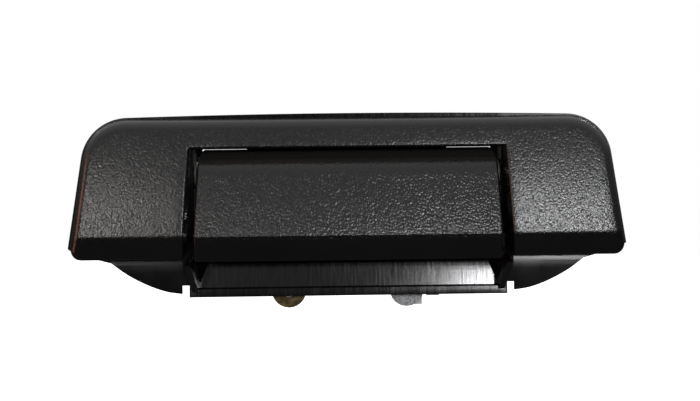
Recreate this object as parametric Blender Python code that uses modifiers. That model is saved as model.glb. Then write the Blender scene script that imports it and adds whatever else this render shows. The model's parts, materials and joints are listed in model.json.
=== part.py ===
"""Centre-pull tailgate door handle, built as an assembly of separate parts.

Frame: X across the vehicle, Y into the tailgate (the handle faces -Y), Z up.
The origin is on the tailgate skin, in the middle of the seat behind the top rail.

Every dimension and every helper works in millimetres; settle() turns each finished
mesh into metres and puts the object's origin on its own reference point or joint axis.
"""

import math

import bmesh
import bpy
from mathutils import Matrix, Vector

MM = 0.001
GAP = 0.3  # left between two parts that rest on each other

# Stack of layers in front of the tailgate skin, which is the plane y = 0.
GASKET_BACK, GASKET_FRONT = 0.0, -1.5
FLANGE_BACK, FLANGE_FRONT = -1.8, -3.8
BEZEL_BACK = FLANGE_FRONT - GAP

# Front outline: a trapezoid with rounded corners, wider at the bottom.
LEAN = 0.18  # how much each side spreads outwards for each millimetre down
FLANGE_HALF_WIDTH, FLANGE_TOP, FLANGE_CORNER_Z = 113.2, 5.3, -51.5
FLANGE_CROWN = 1.1  # how much higher the flange stands in the middle of its top edge
BEZEL_BASE = {"half": 112.4, "top": 4.6, "bottom": -53.8, "r_top": 20.0, "r_bottom": 4.0}
BEZEL_NOSE = {"half": 106.6, "top": -0.3, "bottom": -55.0, "r_top": 17.0, "r_bottom": 4.0}
NOSE_Y = -24.0  # plane of the narrow end of the tapered outline, in front of the face
BEZEL_WALL = 2.6
EDGE_ROUND = 2.4
BOSS_FRONT = FLANGE_FRONT - 2.3 - GAP  # rear end of a screw boss on the bezel

# Side profile of the front face: a crowned slope down to a crease, then a tucked-in band.
FACE_TOP_Y, FACE_TOP_Z = -10.6, 3.3
CREASE_Y, CREASE_Z = -20.8, -44.8
FACE_BOTTOM_Y, FACE_BOTTOM_Z = -18.3, -57.0
FACE_CROWN = 0.8

# Opening for the paddle, open at the bottom.
OPENING_TOP, OPENING_HALF_TOP, OPENING_HALF_BOTTOM = -8.1, 67.4, 70.3
COLLAR = 2.2  # thickness of the return wall round the opening

# Housing: finger pocket behind the paddle.
POCKET_HALF, POCKET_WALL = 67.0, 2.5
POCKET_TOP, POCKET_BACK = -7.8, 13.0
SCOOP = [
    (13.0, -40.5), (12.4, -45.5), (10.4, -50.2), (7.0, -54.0), (3.4, -57.0), (1.7, -59.8), (0.4, -70.0),
]  # the pocket's rear wall, going down to the lip
LIP_HALF, LIP_TOP, LIP_BOTTOM, LIP_FRONT, LIP_BACK = 69.8, -69.2, -73.4, -5.2, 2.6
GROOVE_FRONT, GROOVE_BACK, GROOVE_BOTTOM = -4.1, 0.2, -71.7  # channel behind the lip's front edge
APRON_INNER, APRON_NOTCH_TOP = 73.2, -68.3
APRON_CURVE = [(104.5, -57.6), (96.6, -63.4), (88.0, -68.0), (80.0, -70.9), (APRON_INNER, -72.0)]
SLOT_INNER, SLOT_OUTER, SLOT_TOP, SLOT_BOTTOM = 45.0, 66.0, -9.0, -40.8
PAD_BACK = 18.7  # rear face of the pads that carry the support plate

# Paddle, and the steel lever behind it.
HINGE_Y, HINGE_Z, PIN_RADIUS = 3.0, -20.5, 2.5
PADDLE_HALF_TOP, PADDLE_HALF_BOTTOM = 64.4, 65.6
PADDLE_SKIN = 2.6
PADDLE_BOTTOM_Y, PADDLE_BOTTOM_Z = -18.6, -55.8
PADDLE_ROLL = [(90, 11.4), (105, 11.6), (120, 12.0), (130, 12.3), (140, 12.8), (150, 13.9)]  # angle, radius
PADDLE_REAR = [
    (-14.6, -56.0), (-12.8, -52.0), (-8.5, -40.0), (2.0, -27.5), (7.4, -22.5), (7.4, -18.0), (6.6, -9.8),
]  # side profile of the paddle's end cheeks, going up
PADDLE_SHOULDER = (-11.5, -15.5)
LEVER_NEAR, LEVER_FAR = 6.3, 8.3  # distance of the lever plate behind the paddle's face
EAR_X, EAR_THICK = 56.0, 2.5
PADDLE_SCREWS = (-46.0, -18.0, 18.0, 46.0)
PADDLE_SCREW_DOWN = 19.0

# Bell cranks on the support plate.
PLATE_FRONT, PLATE_BACK = 19.0, 21.0
WASHER_FRONT, WASHER_BACK = 21.3, 22.1
CRANK_FRONT, CRANK_BACK = 22.4, 24.4
PIVOT_X, PIVOT_Z, PIVOT_RADIUS, PIVOT_CLEARANCE = 24.0, -24.5, 4.0, 0.2
TAB_X, TAB_HALF, TAB_TOP, TAB_FRONT = 56.0, 6.0, -25.5, 11.0
ROD_X, ROD_Z, ROD_EYE, ROD_HOLE = 27.5, -75.9, 8.0, 3.0

# Fasteners.
STUD_X, STUD_Z, STUD_RADIUS, STUD_END = 92.0, -28.0, 3.0, 18.0
BEZEL_SCREWS = [(103.0, -10.0), (82.0, -44.0)]
PLATE_SCREWS = [(39.5, -13.5), (6.0, -36.0)]
BUMPER_X, BUMPER_Z, BUMPER_RADIUS, BUMPER_LENGTH = 58.0, -49.0, 2.6, 6.2
LEDGE_FRONT = -10.2  # front of the ledges that hold the rubber stops
ROUND = 24  # facets of a shaft or a hole

parts = bpy.data.collections.new("tailgate_door_handle")
cutters = bpy.data.collections.new("cutters")


# ---------------------------------------------------------------- helpers


def clear_scene():
    for obj in list(bpy.data.objects):
        bpy.data.objects.remove(obj)
    for collection in (parts, cutters):
        bpy.context.scene.collection.children.link(collection)
    cutters.hide_render = True


def material(name, colour, roughness, metallic=0.0):
    made = bpy.data.materials.new(name)
    made.use_nodes = True
    shader = made.node_tree.nodes["Principled BSDF"]
    shader.inputs["Base Color"].default_value = (*colour, 1.0)
    shader.inputs["Roughness"].default_value = roughness
    shader.inputs["Metallic"].default_value = metallic
    return made


def mesh_object(name, mesh):
    obj = bpy.data.objects.new(name, mesh)
    cutters.objects.link(obj)
    return obj


def baked(obj):
    """Applies the object's modifiers and its place, welds loose caps and turns all faces outwards."""
    graph = bpy.context.evaluated_depsgraph_get()
    mesh = bpy.data.meshes.new_from_object(obj.evaluated_get(graph))
    mesh.transform(obj.matrix_world)
    made = bmesh.new()
    made.from_mesh(mesh)
    bmesh.ops.remove_doubles(made, verts=made.verts, dist=1e-4)
    bmesh.ops.dissolve_degenerate(made, edges=made.edges, dist=1e-4)
    bmesh.ops.recalc_face_normals(made, faces=made.faces)
    made.to_mesh(mesh)
    made.free()
    name = obj.name
    bpy.data.objects.remove(obj)
    return mesh_object(name, mesh)


def combined(obj, other, operation):
    """Boolean of two objects, applied; the other object is used up."""
    modifier = obj.modifiers.new(operation, "BOOLEAN")
    modifier.operation = operation
    modifier.object = other
    bpy.context.view_layer.update()
    made = baked(obj)
    bpy.data.objects.remove(other)
    return made


def union(obj, *others):
    for other in others:
        obj = combined(obj, other, "UNION")
    return obj


def cut(obj, *others):
    for other in others:
        obj = combined(obj, other, "DIFFERENCE")
    return obj


AXES = {
    # a 2D outline (u, v) stands in these world axes, and is extruded along the third
    "XZ": Matrix(((1, 0, 0, 0), (0, 0, -1, 0), (0, 1, 0, 0), (0, 0, 0, 1))),
    "YZ": Matrix(((0, 0, 1, 0), (1, 0, 0, 0), (0, 1, 0, 0), (0, 0, 0, 1))),
}


def prism(name, outline, plane, low, high):
    """A flat outline given thickness: in XZ from y = low to high, or in YZ from x = low to high."""
    curve = bpy.data.curves.new(name, "CURVE")
    curve.dimensions = "2D"
    curve.fill_mode = "BOTH"
    curve.extrude = (high - low) / 2
    spline = curve.splines.new("POLY")
    spline.points.add(len(outline) - 1)
    for point, (u, v) in zip(spline.points, outline):
        point.co = (u, v, 0, 1)
    spline.use_cyclic_u = True
    obj = bpy.data.objects.new(name, curve)
    cutters.objects.link(obj)
    middle = (low + high) / 2
    shift = (0, middle, 0) if plane == "XZ" else (middle, 0, 0)
    obj.matrix_world = Matrix.Translation(shift) @ AXES[plane]
    bpy.context.view_layer.update()
    return baked(obj)


def box(name, low, high):
    made = bmesh.new()
    size = Vector(high) - Vector(low)
    middle = (Vector(high) + Vector(low)) / 2
    bmesh.ops.create_cube(made, size=1.0, matrix=Matrix.Translation(middle) @ Matrix.Diagonal((*size, 1)))
    mesh = bpy.data.meshes.new(name)
    made.to_mesh(mesh)
    made.free()
    return mesh_object(name, mesh)


def turned(name, profile, centre, direction, closed=False, steps=ROUND):
    """A lathe part: profile of (radius, distance) swept round an axis through centre along direction."""
    made = bmesh.new()
    points = [made.verts.new((r, 0, h)) for r, h in profile]
    for a, b in zip(points, points[1:]):
        made.edges.new((a, b))
    if closed:
        made.edges.new((points[-1], points[0]))
    mesh = bpy.data.meshes.new(name)
    made.to_mesh(mesh)
    made.free()
    obj = mesh_object(name, mesh)
    screw = obj.modifiers.new("lathe", "SCREW")
    screw.steps = screw.render_steps = steps
    screw.use_merge_vertices = True
    screw.merge_threshold = 1e-4
    turn = Vector(direction).to_track_quat("Z", "Y").to_matrix().to_4x4()
    obj.matrix_world = Matrix.Translation(centre) @ turn
    bpy.context.view_layer.update()
    return baked(obj)


def rod(name, radius, start, end, steps=ROUND):
    along = Vector(end) - Vector(start)
    profile = [(0, along.length), (radius, along.length), (radius, 0), (0, 0)]
    return turned(name, profile, start, along, steps=steps)


def post(name, radius, x, z, front, back, steps=ROUND):
    """A round bar along Y."""
    return rod(name, radius, (x, front, z), (x, back, z), steps)


def ring(name, inner, outer, start, end, steps=ROUND):
    along = Vector(end) - Vector(start)
    profile = [(outer, along.length), (outer, 0), (inner, 0), (inner, along.length)]
    return turned(name, profile, start, along, closed=True, steps=steps)


def loft(name, first, second):
    """A solid between two closed rings with the same number of points."""
    made = bmesh.new()
    edges = []
    for points in (first, second):
        verts = [made.verts.new(p) for p in points]
        edges += [made.edges.new((a, b)) for a, b in zip(verts, verts[1:] + verts[:1])]
        made.faces.new(verts)
    bmesh.ops.bridge_loops(made, edges=edges)
    bmesh.ops.recalc_face_normals(made, faces=made.faces)
    mesh = bpy.data.meshes.new(name)
    made.to_mesh(mesh)
    made.free()
    return mesh_object(name, mesh)


def hull(name, points):
    made = bmesh.new()
    for point in points:
        made.verts.new(point)
    found = bmesh.ops.convex_hull(made, input=made.verts)
    bmesh.ops.delete(made, geom=found["geom_interior"], context="VERTS")
    bmesh.ops.recalc_face_normals(made, faces=made.faces)
    mesh = bpy.data.meshes.new(name)
    made.to_mesh(mesh)
    made.free()
    return mesh_object(name, mesh)


def rounded(obj, width, segments, chosen):
    """Rounds the edges whose middle point passes chosen(middle, edge)."""
    made = bmesh.new()
    made.from_mesh(obj.data)
    bmesh.ops.dissolve_limit(made, angle_limit=math.radians(0.2), verts=made.verts, edges=made.edges)
    edges = [e for e in made.edges if chosen((e.verts[0].co + e.verts[1].co) / 2, e)]
    bmesh.ops.bevel(made, geom=edges, offset=width, segments=segments, profile=0.5, affect="EDGES",
                    clamp_overlap=True)
    bmesh.ops.triangulate(made, faces=[f for f in made.faces if len(f.verts) > 4])
    bmesh.ops.recalc_face_normals(made, faces=made.faces)
    made.to_mesh(obj.data)
    made.free()
    return obj


def settle(obj, name, finish, origin=None):
    """Turns a finished body into a named part in metres, with its origin on the given point."""
    mesh = obj.data
    mesh.transform(Matrix.Scale(MM, 4))
    corners = [Vector(c) for c in (v.co for v in mesh.vertices)]
    low = Vector(min(c[i] for c in corners) for i in range(3))
    high = Vector(max(c[i] for c in corners) for i in range(3))
    centre = Vector(origin) * MM if origin else (low + high) / 2
    mesh.transform(Matrix.Translation(-centre))
    mesh.shade_smooth()
    mesh.set_sharp_from_angle(angle=math.radians(35))
    mesh.materials.clear()
    mesh.materials.append(finish)
    obj.name = mesh.name = name
    obj.location = centre
    cutters.objects.unlink(obj)
    parts.objects.link(obj)
    return obj


def arc(centre, radius, start, end, count):
    """Points on a circle between two angles in degrees."""
    angles = [math.radians(start + (end - start) * i / count) for i in range(count + 1)]
    return [(centre[0] + radius * math.cos(a), centre[1] + radius * math.sin(a)) for a in angles]


def mirrored(outline):
    """The right half of an outline, from top centre to bottom centre, with its mirror image added."""
    return outline + [(-x, z) for x, z in reversed(outline) if abs(x) > 1e-6]


# ---------------------------------------------------------------- outlines


def trapezoid(half, top, bottom, r_top, r_bottom, inset=0.0):
    """Rounded trapezoid; half is its half width at z = 0."""
    slope = math.degrees(math.atan(LEAN))
    half -= inset / math.cos(math.radians(slope))
    top -= inset
    bottom += inset
    r_top = max(r_top - inset, 0.8)
    r_bottom = max(r_bottom - inset, 0.8)
    side = math.sqrt(1 + LEAN * LEAN)
    x_top = half - LEAN * (top - r_top) - r_top * side
    x_bottom = half - LEAN * (bottom + r_bottom) - r_bottom * side
    corner_top = arc((x_top, top - r_top), r_top, 90, slope, 7)
    corner_bottom = arc((x_bottom, bottom + r_bottom), r_bottom, slope, -90, 4)
    return mirrored(corner_top + corner_bottom)


def face_profile(back=0.0):
    """Side profile of the front face, moved back by a wall thickness, closed far behind it."""
    points = [(FACE_TOP_Y + 2.2, FACE_TOP_Z + 10)]
    steps = 4
    for i in range(steps + 1):
        t = i / steps
        y = FACE_TOP_Y + (CREASE_Y - FACE_TOP_Y) * t - FACE_CROWN * 4 * t * (1 - t)
        points.append((y, FACE_TOP_Z + (CREASE_Z - FACE_TOP_Z) * t))
    points.append((FACE_BOTTOM_Y, FACE_BOTTOM_Z))
    points.append((FACE_BOTTOM_Y + 1.0, FACE_BOTTOM_Z - 5))
    front = [(y + back, z) for y, z in points]
    return front + [(BEZEL_BACK + 30, front[-1][1]), (BEZEL_BACK + 30, front[0][1])]


def opening_outline(grow=0.0):
    top = OPENING_TOP + grow
    far = -90.0
    spread = (OPENING_HALF_BOTTOM - OPENING_HALF_TOP) / (OPENING_TOP - FACE_BOTTOM_Z)
    at_top = OPENING_HALF_TOP + grow - spread * grow
    at_far = OPENING_HALF_TOP + grow + spread * (OPENING_TOP - far)
    return [(-at_top, top), (at_top, top), (at_far, far), (-at_far, far)]


def pocket_profile(wall, front):
    """Side profile of the finger pocket, grown by a wall thickness."""
    scoop = []
    for i, (y, z) in enumerate(SCOOP):
        before, after = SCOOP[max(i - 1, 0)], SCOOP[min(i + 1, len(SCOOP) - 1)]
        dy, dz = after[0] - before[0], after[1] - before[1]
        length = math.hypot(dy, dz)
        scoop.append((y - wall * dz / length, z + wall * dy / length))
    top = POCKET_TOP + wall
    back = POCKET_BACK + wall
    return [(front, top), (back, top)] + scoop + [(front, scoop[-1][1])]


def flange_outline():
    slope = math.degrees(math.atan(LEAN))
    radius = BEZEL_BASE["r_top"] + 1
    side = math.sqrt(1 + LEAN * LEAN)
    x_top = FLANGE_HALF_WIDTH - LEAN * (FLANGE_TOP - radius) - radius * side
    crown = [(x, FLANGE_TOP + FLANGE_CROWN * (1 - (x / x_top) ** 2)) for x in (0, 25, 50, 75)]
    corner = arc((x_top, FLANGE_TOP - radius), radius, 90, slope, 7)
    low_x = FLANGE_HALF_WIDTH - LEAN * FLANGE_CORNER_Z
    tail = [(low_x, FLANGE_CORNER_Z), (low_x - 3, FLANGE_CORNER_Z - 2.2)]
    inner = [(APRON_INNER, APRON_NOTCH_TOP), (0, APRON_NOTCH_TOP)]
    return mirrored(crown + corner + tail + APRON_CURVE + inner)


# ---------------------------------------------------------------- moulded parts


def build_bezel(finish):
    """Cosmetic cover: two wings joined by a rail over the paddle."""

    def body(inset, back, rear):
        wide = [(x, rear, z) for x, z in trapezoid(**BEZEL_BASE, inset=inset)]
        narrow = [(x, NOSE_Y, z) for x, z in trapezoid(**BEZEL_NOSE, inset=inset)]
        made = loft("bezel_body", wide, narrow)
        return combined(made, prism("face", face_profile(back), "YZ", -140, 140), "INTERSECT")

    def on_front_edge(middle, edge):
        """The corner between the front face and the side walls, and the crease."""
        if middle.y > BEZEL_BACK - 0.5 or len(edge.link_faces) != 2:
            return False
        facing = [f.normal.y < -0.8 for f in edge.link_faces]
        return facing[0] != facing[1]

    outer = rounded(body(0.0, 0.0, BEZEL_BACK), EDGE_ROUND, 2, on_front_edge)
    collar = prism("collar", opening_outline(COLLAR), "XZ", -40, 10)
    collar = combined(collar, body(0.6, 0.6, BEZEL_BACK), "INTERSECT")
    shell = cut(outer, body(BEZEL_WALL, BEZEL_WALL, BEZEL_BACK + 1))
    shell = union(shell, collar)
    shell = cut(shell, prism("opening", opening_outline(), "XZ", -40, 10))
    for x, z in BEZEL_SCREWS:
        for side in (1, -1):
            depth = face_y(z) + BEZEL_WALL / 2
            shell = union(shell, post("boss", 3.6, side * x, z, BOSS_FRONT, depth, 16))
            shell = cut(shell, post("pilot", 1.9, side * x, z, BOSS_FRONT + 1, depth + 1.6, 16))
    return settle(shell, "bezel", finish)


def face_y(z):
    """Depth of the front face at a height above the crease."""
    t = (FACE_TOP_Z - z) / (FACE_TOP_Z - CREASE_Z)
    if t > 1:
        share = (CREASE_Z - z) / (CREASE_Z - FACE_BOTTOM_Z)
        return CREASE_Y + (FACE_BOTTOM_Y - CREASE_Y) * share
    return FACE_TOP_Y + (CREASE_Y - FACE_TOP_Y) * t - FACE_CROWN * 4 * t * (1 - t)


def build_housing(finish):
    """Rear moulding: seat flange with its aprons, finger pocket, lip, screw seats and pads."""
    outer_half = POCKET_HALF + POCKET_WALL
    body = prism("flange", flange_outline(), "XZ", FLANGE_FRONT, FLANGE_BACK)
    shell = pocket_profile(POCKET_WALL, FLANGE_FRONT)
    body = union(body, prism("pocket", shell, "YZ", -outer_half, outer_half))
    body = union(body, box("lip", (-LIP_HALF, LIP_FRONT, LIP_BOTTOM), (LIP_HALF, LIP_BACK, LIP_TOP + 1.0)))
    for side in (1, -1):
        gusset = [(side * x, y, z) for x, y, z in (
            (67.6, -17.2, -57.6), (70.0, -17.2, -57.6), (67.6, -3.0, -56.0), (70.0, -3.0, -56.0),
            (65.6, -5.0, -71.2), (68.6, -5.0, -71.2), (65.6, -2.5, -71.2), (68.6, -2.5, -71.2))]
        body = union(body, hull("gusset", gusset))
        for x, z in BEZEL_SCREWS:
            body = union(body, post("seat", 6.0, side * x, z, FLANGE_FRONT - 2.3, FLANGE_BACK - 0.1))
        for x, z in PLATE_SCREWS + [(PIVOT_X, PIVOT_Z)]:
            body = union(body, post("pad", 5.5, side * x, z, POCKET_BACK + 1, PAD_BACK))
    hollow = pocket_profile(0.0, -30)
    floor_half = POCKET_HALF - 1.0
    body = cut(body, prism("hollow", hollow, "YZ", -floor_half, floor_half))
    mouth = hollow[:-2] + [(-3.0, -60.0), (-30, -60.0)]
    body = cut(body, prism("mouth", mouth, "YZ", -POCKET_HALF, POCKET_HALF))
    groove = box("groove", (-floor_half, GROOVE_FRONT, GROOVE_BOTTOM), (floor_half, GROOVE_BACK, LIP_TOP))
    body = cut(body, groove)
    for side in (1, -1):
        low, high = sorted((side * SLOT_INNER, side * SLOT_OUTER))
        body = cut(body, box("slot", (low, POCKET_BACK - 1, SLOT_BOTTOM), (high, PAD_BACK + 5, SLOT_TOP)))
        low, high = sorted((side * (BUMPER_X - 4), side * (POCKET_HALF + 0.5)))
        body = union(body, box("ledge", (low, LEDGE_FRONT, BUMPER_Z - 3), (high, 2.0, BUMPER_Z + 3)))
        seat = rod("bush_seat", 4.2, (side * 60, HINGE_Y, HINGE_Z), (side * 75, HINGE_Y, HINGE_Z))
        body = cut(body, seat)
        body = cut(body, post("stud_hole", STUD_RADIUS + 0.3, side * STUD_X, STUD_Z, -9, 3))
        body = cut(body, post("bumper_hole", 1.6, side * BUMPER_X, BUMPER_Z, -13, -5, 16))
        for x, z in BEZEL_SCREWS:
            body = cut(body, post("sink", 4.3, side * x, z, FLANGE_BACK - 2.3, 2))
            body = cut(body, post("clear", 2.1, side * x, z, -9, 2, 16))
        for (x, z), hole in zip(PLATE_SCREWS + [(PIVOT_X, PIVOT_Z)], (1.9, 1.9, 2.6)):
            body = cut(body, post("pilot", hole, side * x, z, POCKET_BACK + 1.2, PAD_BACK + 1, 16))
    return settle(body, "housing", finish)


def build_gasket(finish):
    """Foam seal between the flange and the tailgate skin."""
    ring_half = POCKET_HALF + POCKET_WALL + 4.0
    outline = [(x * 0.991, z - 1.0) for x, z in flange_outline() if z > -60]
    body = prism("gasket_sheet", outline, "XZ", GASKET_FRONT, GASKET_BACK)
    body = cut(body, box("middle", (-ring_half, -9, -80), (ring_half, 9, -4.6)))
    for side in (1, -1):
        corners = ((80.5, -17.0), (97.0, -4.0), (106.5, -14.0), (112.0, -46.5), (80.5, -46.5))
        window = [(side * x, z) for x, z in corners]
        middle = (side * STUD_X, STUD_Z)
        body = cut(body, prism("window", window, "XZ", -9, 9))
        body = union(body, ring("stud_pad", STUD_RADIUS + 0.5, 8.0, (middle[0], GASKET_FRONT, middle[1]),
                                (middle[0], GASKET_BACK, middle[1])))
        low, high = sorted((side * (STUD_X + 6), side * 116))
        body = union(body, box("bridge", (low, GASKET_FRONT, STUD_Z - 3), (high, GASKET_BACK, STUD_Z + 3)))
        for x, z in BEZEL_SCREWS:
            body = cut(body, rod("access", 4.8, (side * x, -9, z), (side * x, 9, z), 24))
    return settle(body, "seat_gasket", finish)


def paddle_roll(depth):
    """Side profile of the paddle's rolled top, a depth under its surface."""
    turns = [(r - depth, math.radians(a)) for a, r in PADDLE_ROLL]
    return [(HINGE_Y + r * math.cos(a), HINGE_Z + r * math.sin(a)) for r, a in turns]


def paddle_front():
    """Side profile of the paddle's outer surface, from the rolled top to the bottom edge."""
    return paddle_roll(0.0) + [PADDLE_SHOULDER, (CREASE_Y, CREASE_Z), (PADDLE_BOTTOM_Y, PADDLE_BOTTOM_Z)]


def paddle_point(down, behind):
    """A point measured down the paddle's face from its shoulder and square behind the face."""
    dy, dz = CREASE_Y - PADDLE_SHOULDER[0], CREASE_Z - PADDLE_SHOULDER[1]
    length = math.hypot(dy, dz)
    dy, dz = dy / length, dz / length
    return PADDLE_SHOULDER[0] + dy * down - dz * behind, PADDLE_SHOULDER[1] + dz * down + dy * behind


def build_paddle(finish):
    """Pull flap: a thin skin with side walls, hinged on the pin near its rolled top."""
    front = paddle_front()
    body = prism("paddle_body", front + PADDLE_REAR, "YZ", -PADDLE_HALF_BOTTOM, PADDLE_HALF_BOTTOM)
    trim = (PADDLE_HALF_BOTTOM - PADDLE_HALF_TOP) / (FACE_BOTTOM_Z - PADDLE_SHOULDER[1])
    for side in (1, -1):
        wedge = [(PADDLE_HALF_BOTTOM, FACE_BOTTOM_Z - 2), (PADDLE_HALF_BOTTOM + 9, FACE_BOTTOM_Z - 2),
                 (PADDLE_HALF_BOTTOM + 9, 0), (PADDLE_HALF_BOTTOM + trim * FACE_BOTTOM_Z, 0)]
        body = cut(body, prism("trim", [(side * x, z) for x, z in wedge], "XZ", -40, 40))
    inner = paddle_roll(PADDLE_SKIN) + [paddle_point(0.4, PADDLE_SKIN), paddle_point(30.4, PADDLE_SKIN)]
    inner += [(-16.3, -53.6), (20, -53.6), (20, inner[0][1])]
    half = PADDLE_HALF_TOP - PADDLE_SKIN
    body = cut(body, prism("inside", inner, "YZ", -half, half))
    for x in PADDLE_SCREWS:
        near, far = paddle_point(PADDLE_SCREW_DOWN, 1.0), paddle_point(PADDLE_SCREW_DOWN, LEVER_NEAR - GAP)
        body = union(body, rod("boss", 3.8, (x, *near), (x, *far), 16))
        near = paddle_point(PADDLE_SCREW_DOWN, 1.6)
        far = paddle_point(PADDLE_SCREW_DOWN, LEVER_NEAR + 2)
        body = cut(body, rod("pilot", 1.7, (x, *near), (x, *far), 16))
    body = cut(body, rod("pin_hole", PIN_RADIUS + 0.2, (-80, HINGE_Y, HINGE_Z), (80, HINGE_Y, HINGE_Z)))
    return settle(body, "paddle", finish, (0, HINGE_Y, HINGE_Z))


# ---------------------------------------------------------------- lever, pin and spring


def build_lever(finish):
    """Pressed steel lever: a plate screwed behind the paddle, with two ears that carry the rear arms."""
    plate = [paddle_point(10, LEVER_NEAR), paddle_point(10, LEVER_FAR),
             paddle_point(27, LEVER_FAR), paddle_point(27, LEVER_NEAR)]
    half = EAR_X + EAR_THICK / 2
    body = prism("lever_plate", plate, "YZ", -half, half)
    top = arc((HINGE_Y, HINGE_Z), 6.5, 60, 150, 5)
    ear = [(20.0, HINGE_Z + 1.5), (20.0, HINGE_Z - 4.0), (6.0, HINGE_Z - 4.0),
           paddle_point(27, LEVER_FAR + 1.5), paddle_point(27, LEVER_NEAR), paddle_point(8, LEVER_NEAR)]
    outline = top + [(y, z) for y, z in reversed(ear)]
    for side in (1, -1):
        low, high = sorted((side * (EAR_X - EAR_THICK / 2), side * half))
        body = union(body, prism("ear", outline, "YZ", low, high))
    for x in PADDLE_SCREWS:
        near = paddle_point(PADDLE_SCREW_DOWN, LEVER_NEAR - 3)
        far = paddle_point(PADDLE_SCREW_DOWN, LEVER_FAR + 3)
        body = cut(body, rod("hole", 2.0, (x, *near), (x, *far), 16))
    body = cut(body, rod("pin_hole", PIN_RADIUS + 0.2, (-80, HINGE_Y, HINGE_Z), (80, HINGE_Y, HINGE_Z)))
    return settle(body, "pull_lever", finish, (0, HINGE_Y, HINGE_Z))


def build_pin(finish):
    end = POCKET_HALF + POCKET_WALL
    profile = [
        (0, 2 * end + 3.2), (1.9, 2 * end + 3.2), (PIN_RADIUS, 2 * end + 2.6), (PIN_RADIUS, 2 * end + 1.6),
        (1.8, 2 * end + 1.6), (1.8, 2 * end + 0.6), (PIN_RADIUS, 2 * end + 0.6), (PIN_RADIUS, -GAP),
        (4.4, -GAP), (4.4, -1.6), (3.6, -2.1), (0, -2.1),
    ]
    return settle(turned("pin", profile, (-end, HINGE_Y, HINGE_Z), (1, 0, 0)), "hinge_pin", finish)


def build_pin_clip(finish):
    """Spring clip in the groove at the pin's plain end."""
    x = POCKET_HALF + POCKET_WALL + 0.75
    outline = arc((0, 0), 4.5, -60, 240, 16) + arc((0, 0), 2.05, 240, -60, 12)
    outline = [(HINGE_Y + u, HINGE_Z + v) for u, v in outline]
    return settle(prism("clip", outline, "YZ", x, x + 0.7), "pin_clip", finish)


def build_bush(side, finish):
    x = side * (POCKET_HALF - 1.0)
    length = POCKET_WALL + 0.8
    profile = [(6.0, 0), (2.75, 0), (2.75, length), (3.9, length), (3.9, 0.7), (6.0, 0.7)]
    made = turned("bush", profile, (x, HINGE_Y, HINGE_Z), (side, 0, 0), closed=True)
    return settle(made, f"hinge_bush_{'right' if side > 0 else 'left'}", finish)


def wire(name, points, radius):
    """A round wire through the points."""
    curve = bpy.data.curves.new(name, "CURVE")
    curve.dimensions = "3D"
    curve.bevel_depth = radius
    curve.bevel_resolution = 2
    curve.use_fill_caps = True
    spline = curve.splines.new("POLY")
    spline.points.add(len(points) - 1)
    for point, place in zip(spline.points, points):
        point.co = (*place, 1)
    obj = bpy.data.objects.new(name, curve)
    cutters.objects.link(obj)
    bpy.context.view_layer.update()
    return baked(obj)


def build_spring(finish):
    """Torsion spring round the pin: one leg on the pocket's back wall, the other on the lever plate."""
    coil_radius, wire_radius, turns, pitch, per_turn = 4.4, 0.8, 6.25, 2.2, 12
    count = int(turns * per_turn)
    start_x = -turns * pitch / 2
    coil = []
    for i in range(count + 1):
        angle = math.radians(-90 + 360 * i / per_turn)
        coil.append((start_x + turns * pitch * i / count, HINGE_Y + coil_radius * math.cos(angle),
                     HINGE_Z + coil_radius * math.sin(angle)))
    back_leg = [(start_x, POCKET_BACK - 1.2 - s, HINGE_Z - coil_radius) for s in (0.0, 3.0)]
    y, z = paddle_point(21, LEVER_FAR + 1.2)
    last = coil[-1]
    front_leg = [(last[0] + 0.3, last[1] - 1.2, last[2] - 3.0), (last[0] + 0.6, y + 1.6, z + 6.0),
                 (last[0] + 0.6, y, z)]
    return settle(wire("spring", back_leg + coil + front_leg, wire_radius), "return_spring", finish,
                  (0, HINGE_Y, HINGE_Z))


# ---------------------------------------------------------------- cranks


def build_support_plate(finish):
    half, top, bottom = 44.3, -8.5, -30.5
    outline = mirrored([(0, top), (half - 3, top), (half, top - 3), (half, bottom + 6), (half - 6, bottom),
                        (16, bottom - 1), (12.5, -42.0), (0, -42.0)])
    body = prism("support", outline, "XZ", PLATE_FRONT, PLATE_BACK)
    for side in (1, -1):
        for x, z in PLATE_SCREWS:
            body = cut(body, post("hole", 2.2, side * x, z, 10, 30, 16))
        body = cut(body, post("rivet", 2.4, side * PIVOT_X, PIVOT_Z, 10, 30, 16))
    return settle(body, "support_plate", finish)


def crank_outline(side):
    """Bell crank: an outer arm to the tab, and a long arm down to the rod eye."""
    hub = 9.0
    arm = 6.5
    points = arc((PIVOT_X, PIVOT_Z), hub, 200, 75, 6)
    points += [(PIVOT_X + 8, TAB_TOP + arm), (TAB_X + TAB_HALF, TAB_TOP), (TAB_X + TAB_HALF, TAB_TOP - 8)]
    points += [(PIVOT_X + 15, TAB_TOP - arm - 1.5), (PIVOT_X + 10.5, TAB_TOP - 14)]
    points += arc((ROD_X, ROD_Z), ROD_EYE, 25, -205, 16)
    return [(side * x, z) for x, z in points]


def build_crank(side, finish):
    body = prism("crank", crank_outline(side), "XZ", CRANK_FRONT, CRANK_BACK)
    low, high = sorted((side * (TAB_X - TAB_HALF), side * (TAB_X + TAB_HALF)))
    body = union(body, box("tab", (low, TAB_FRONT, TAB_TOP - 2), (high, CRANK_BACK - 0.2, TAB_TOP)))
    body = cut(body, post("pivot", PIVOT_RADIUS + PIVOT_CLEARANCE, side * PIVOT_X, PIVOT_Z, 10, 30))
    body = cut(body, post("eye", ROD_HOLE, side * ROD_X, ROD_Z, 10, 30))
    name = f"bell_crank_{'right' if side > 0 else 'left'}"
    return settle(body, name, finish, (side * PIVOT_X, CRANK_FRONT, PIVOT_Z))


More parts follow.
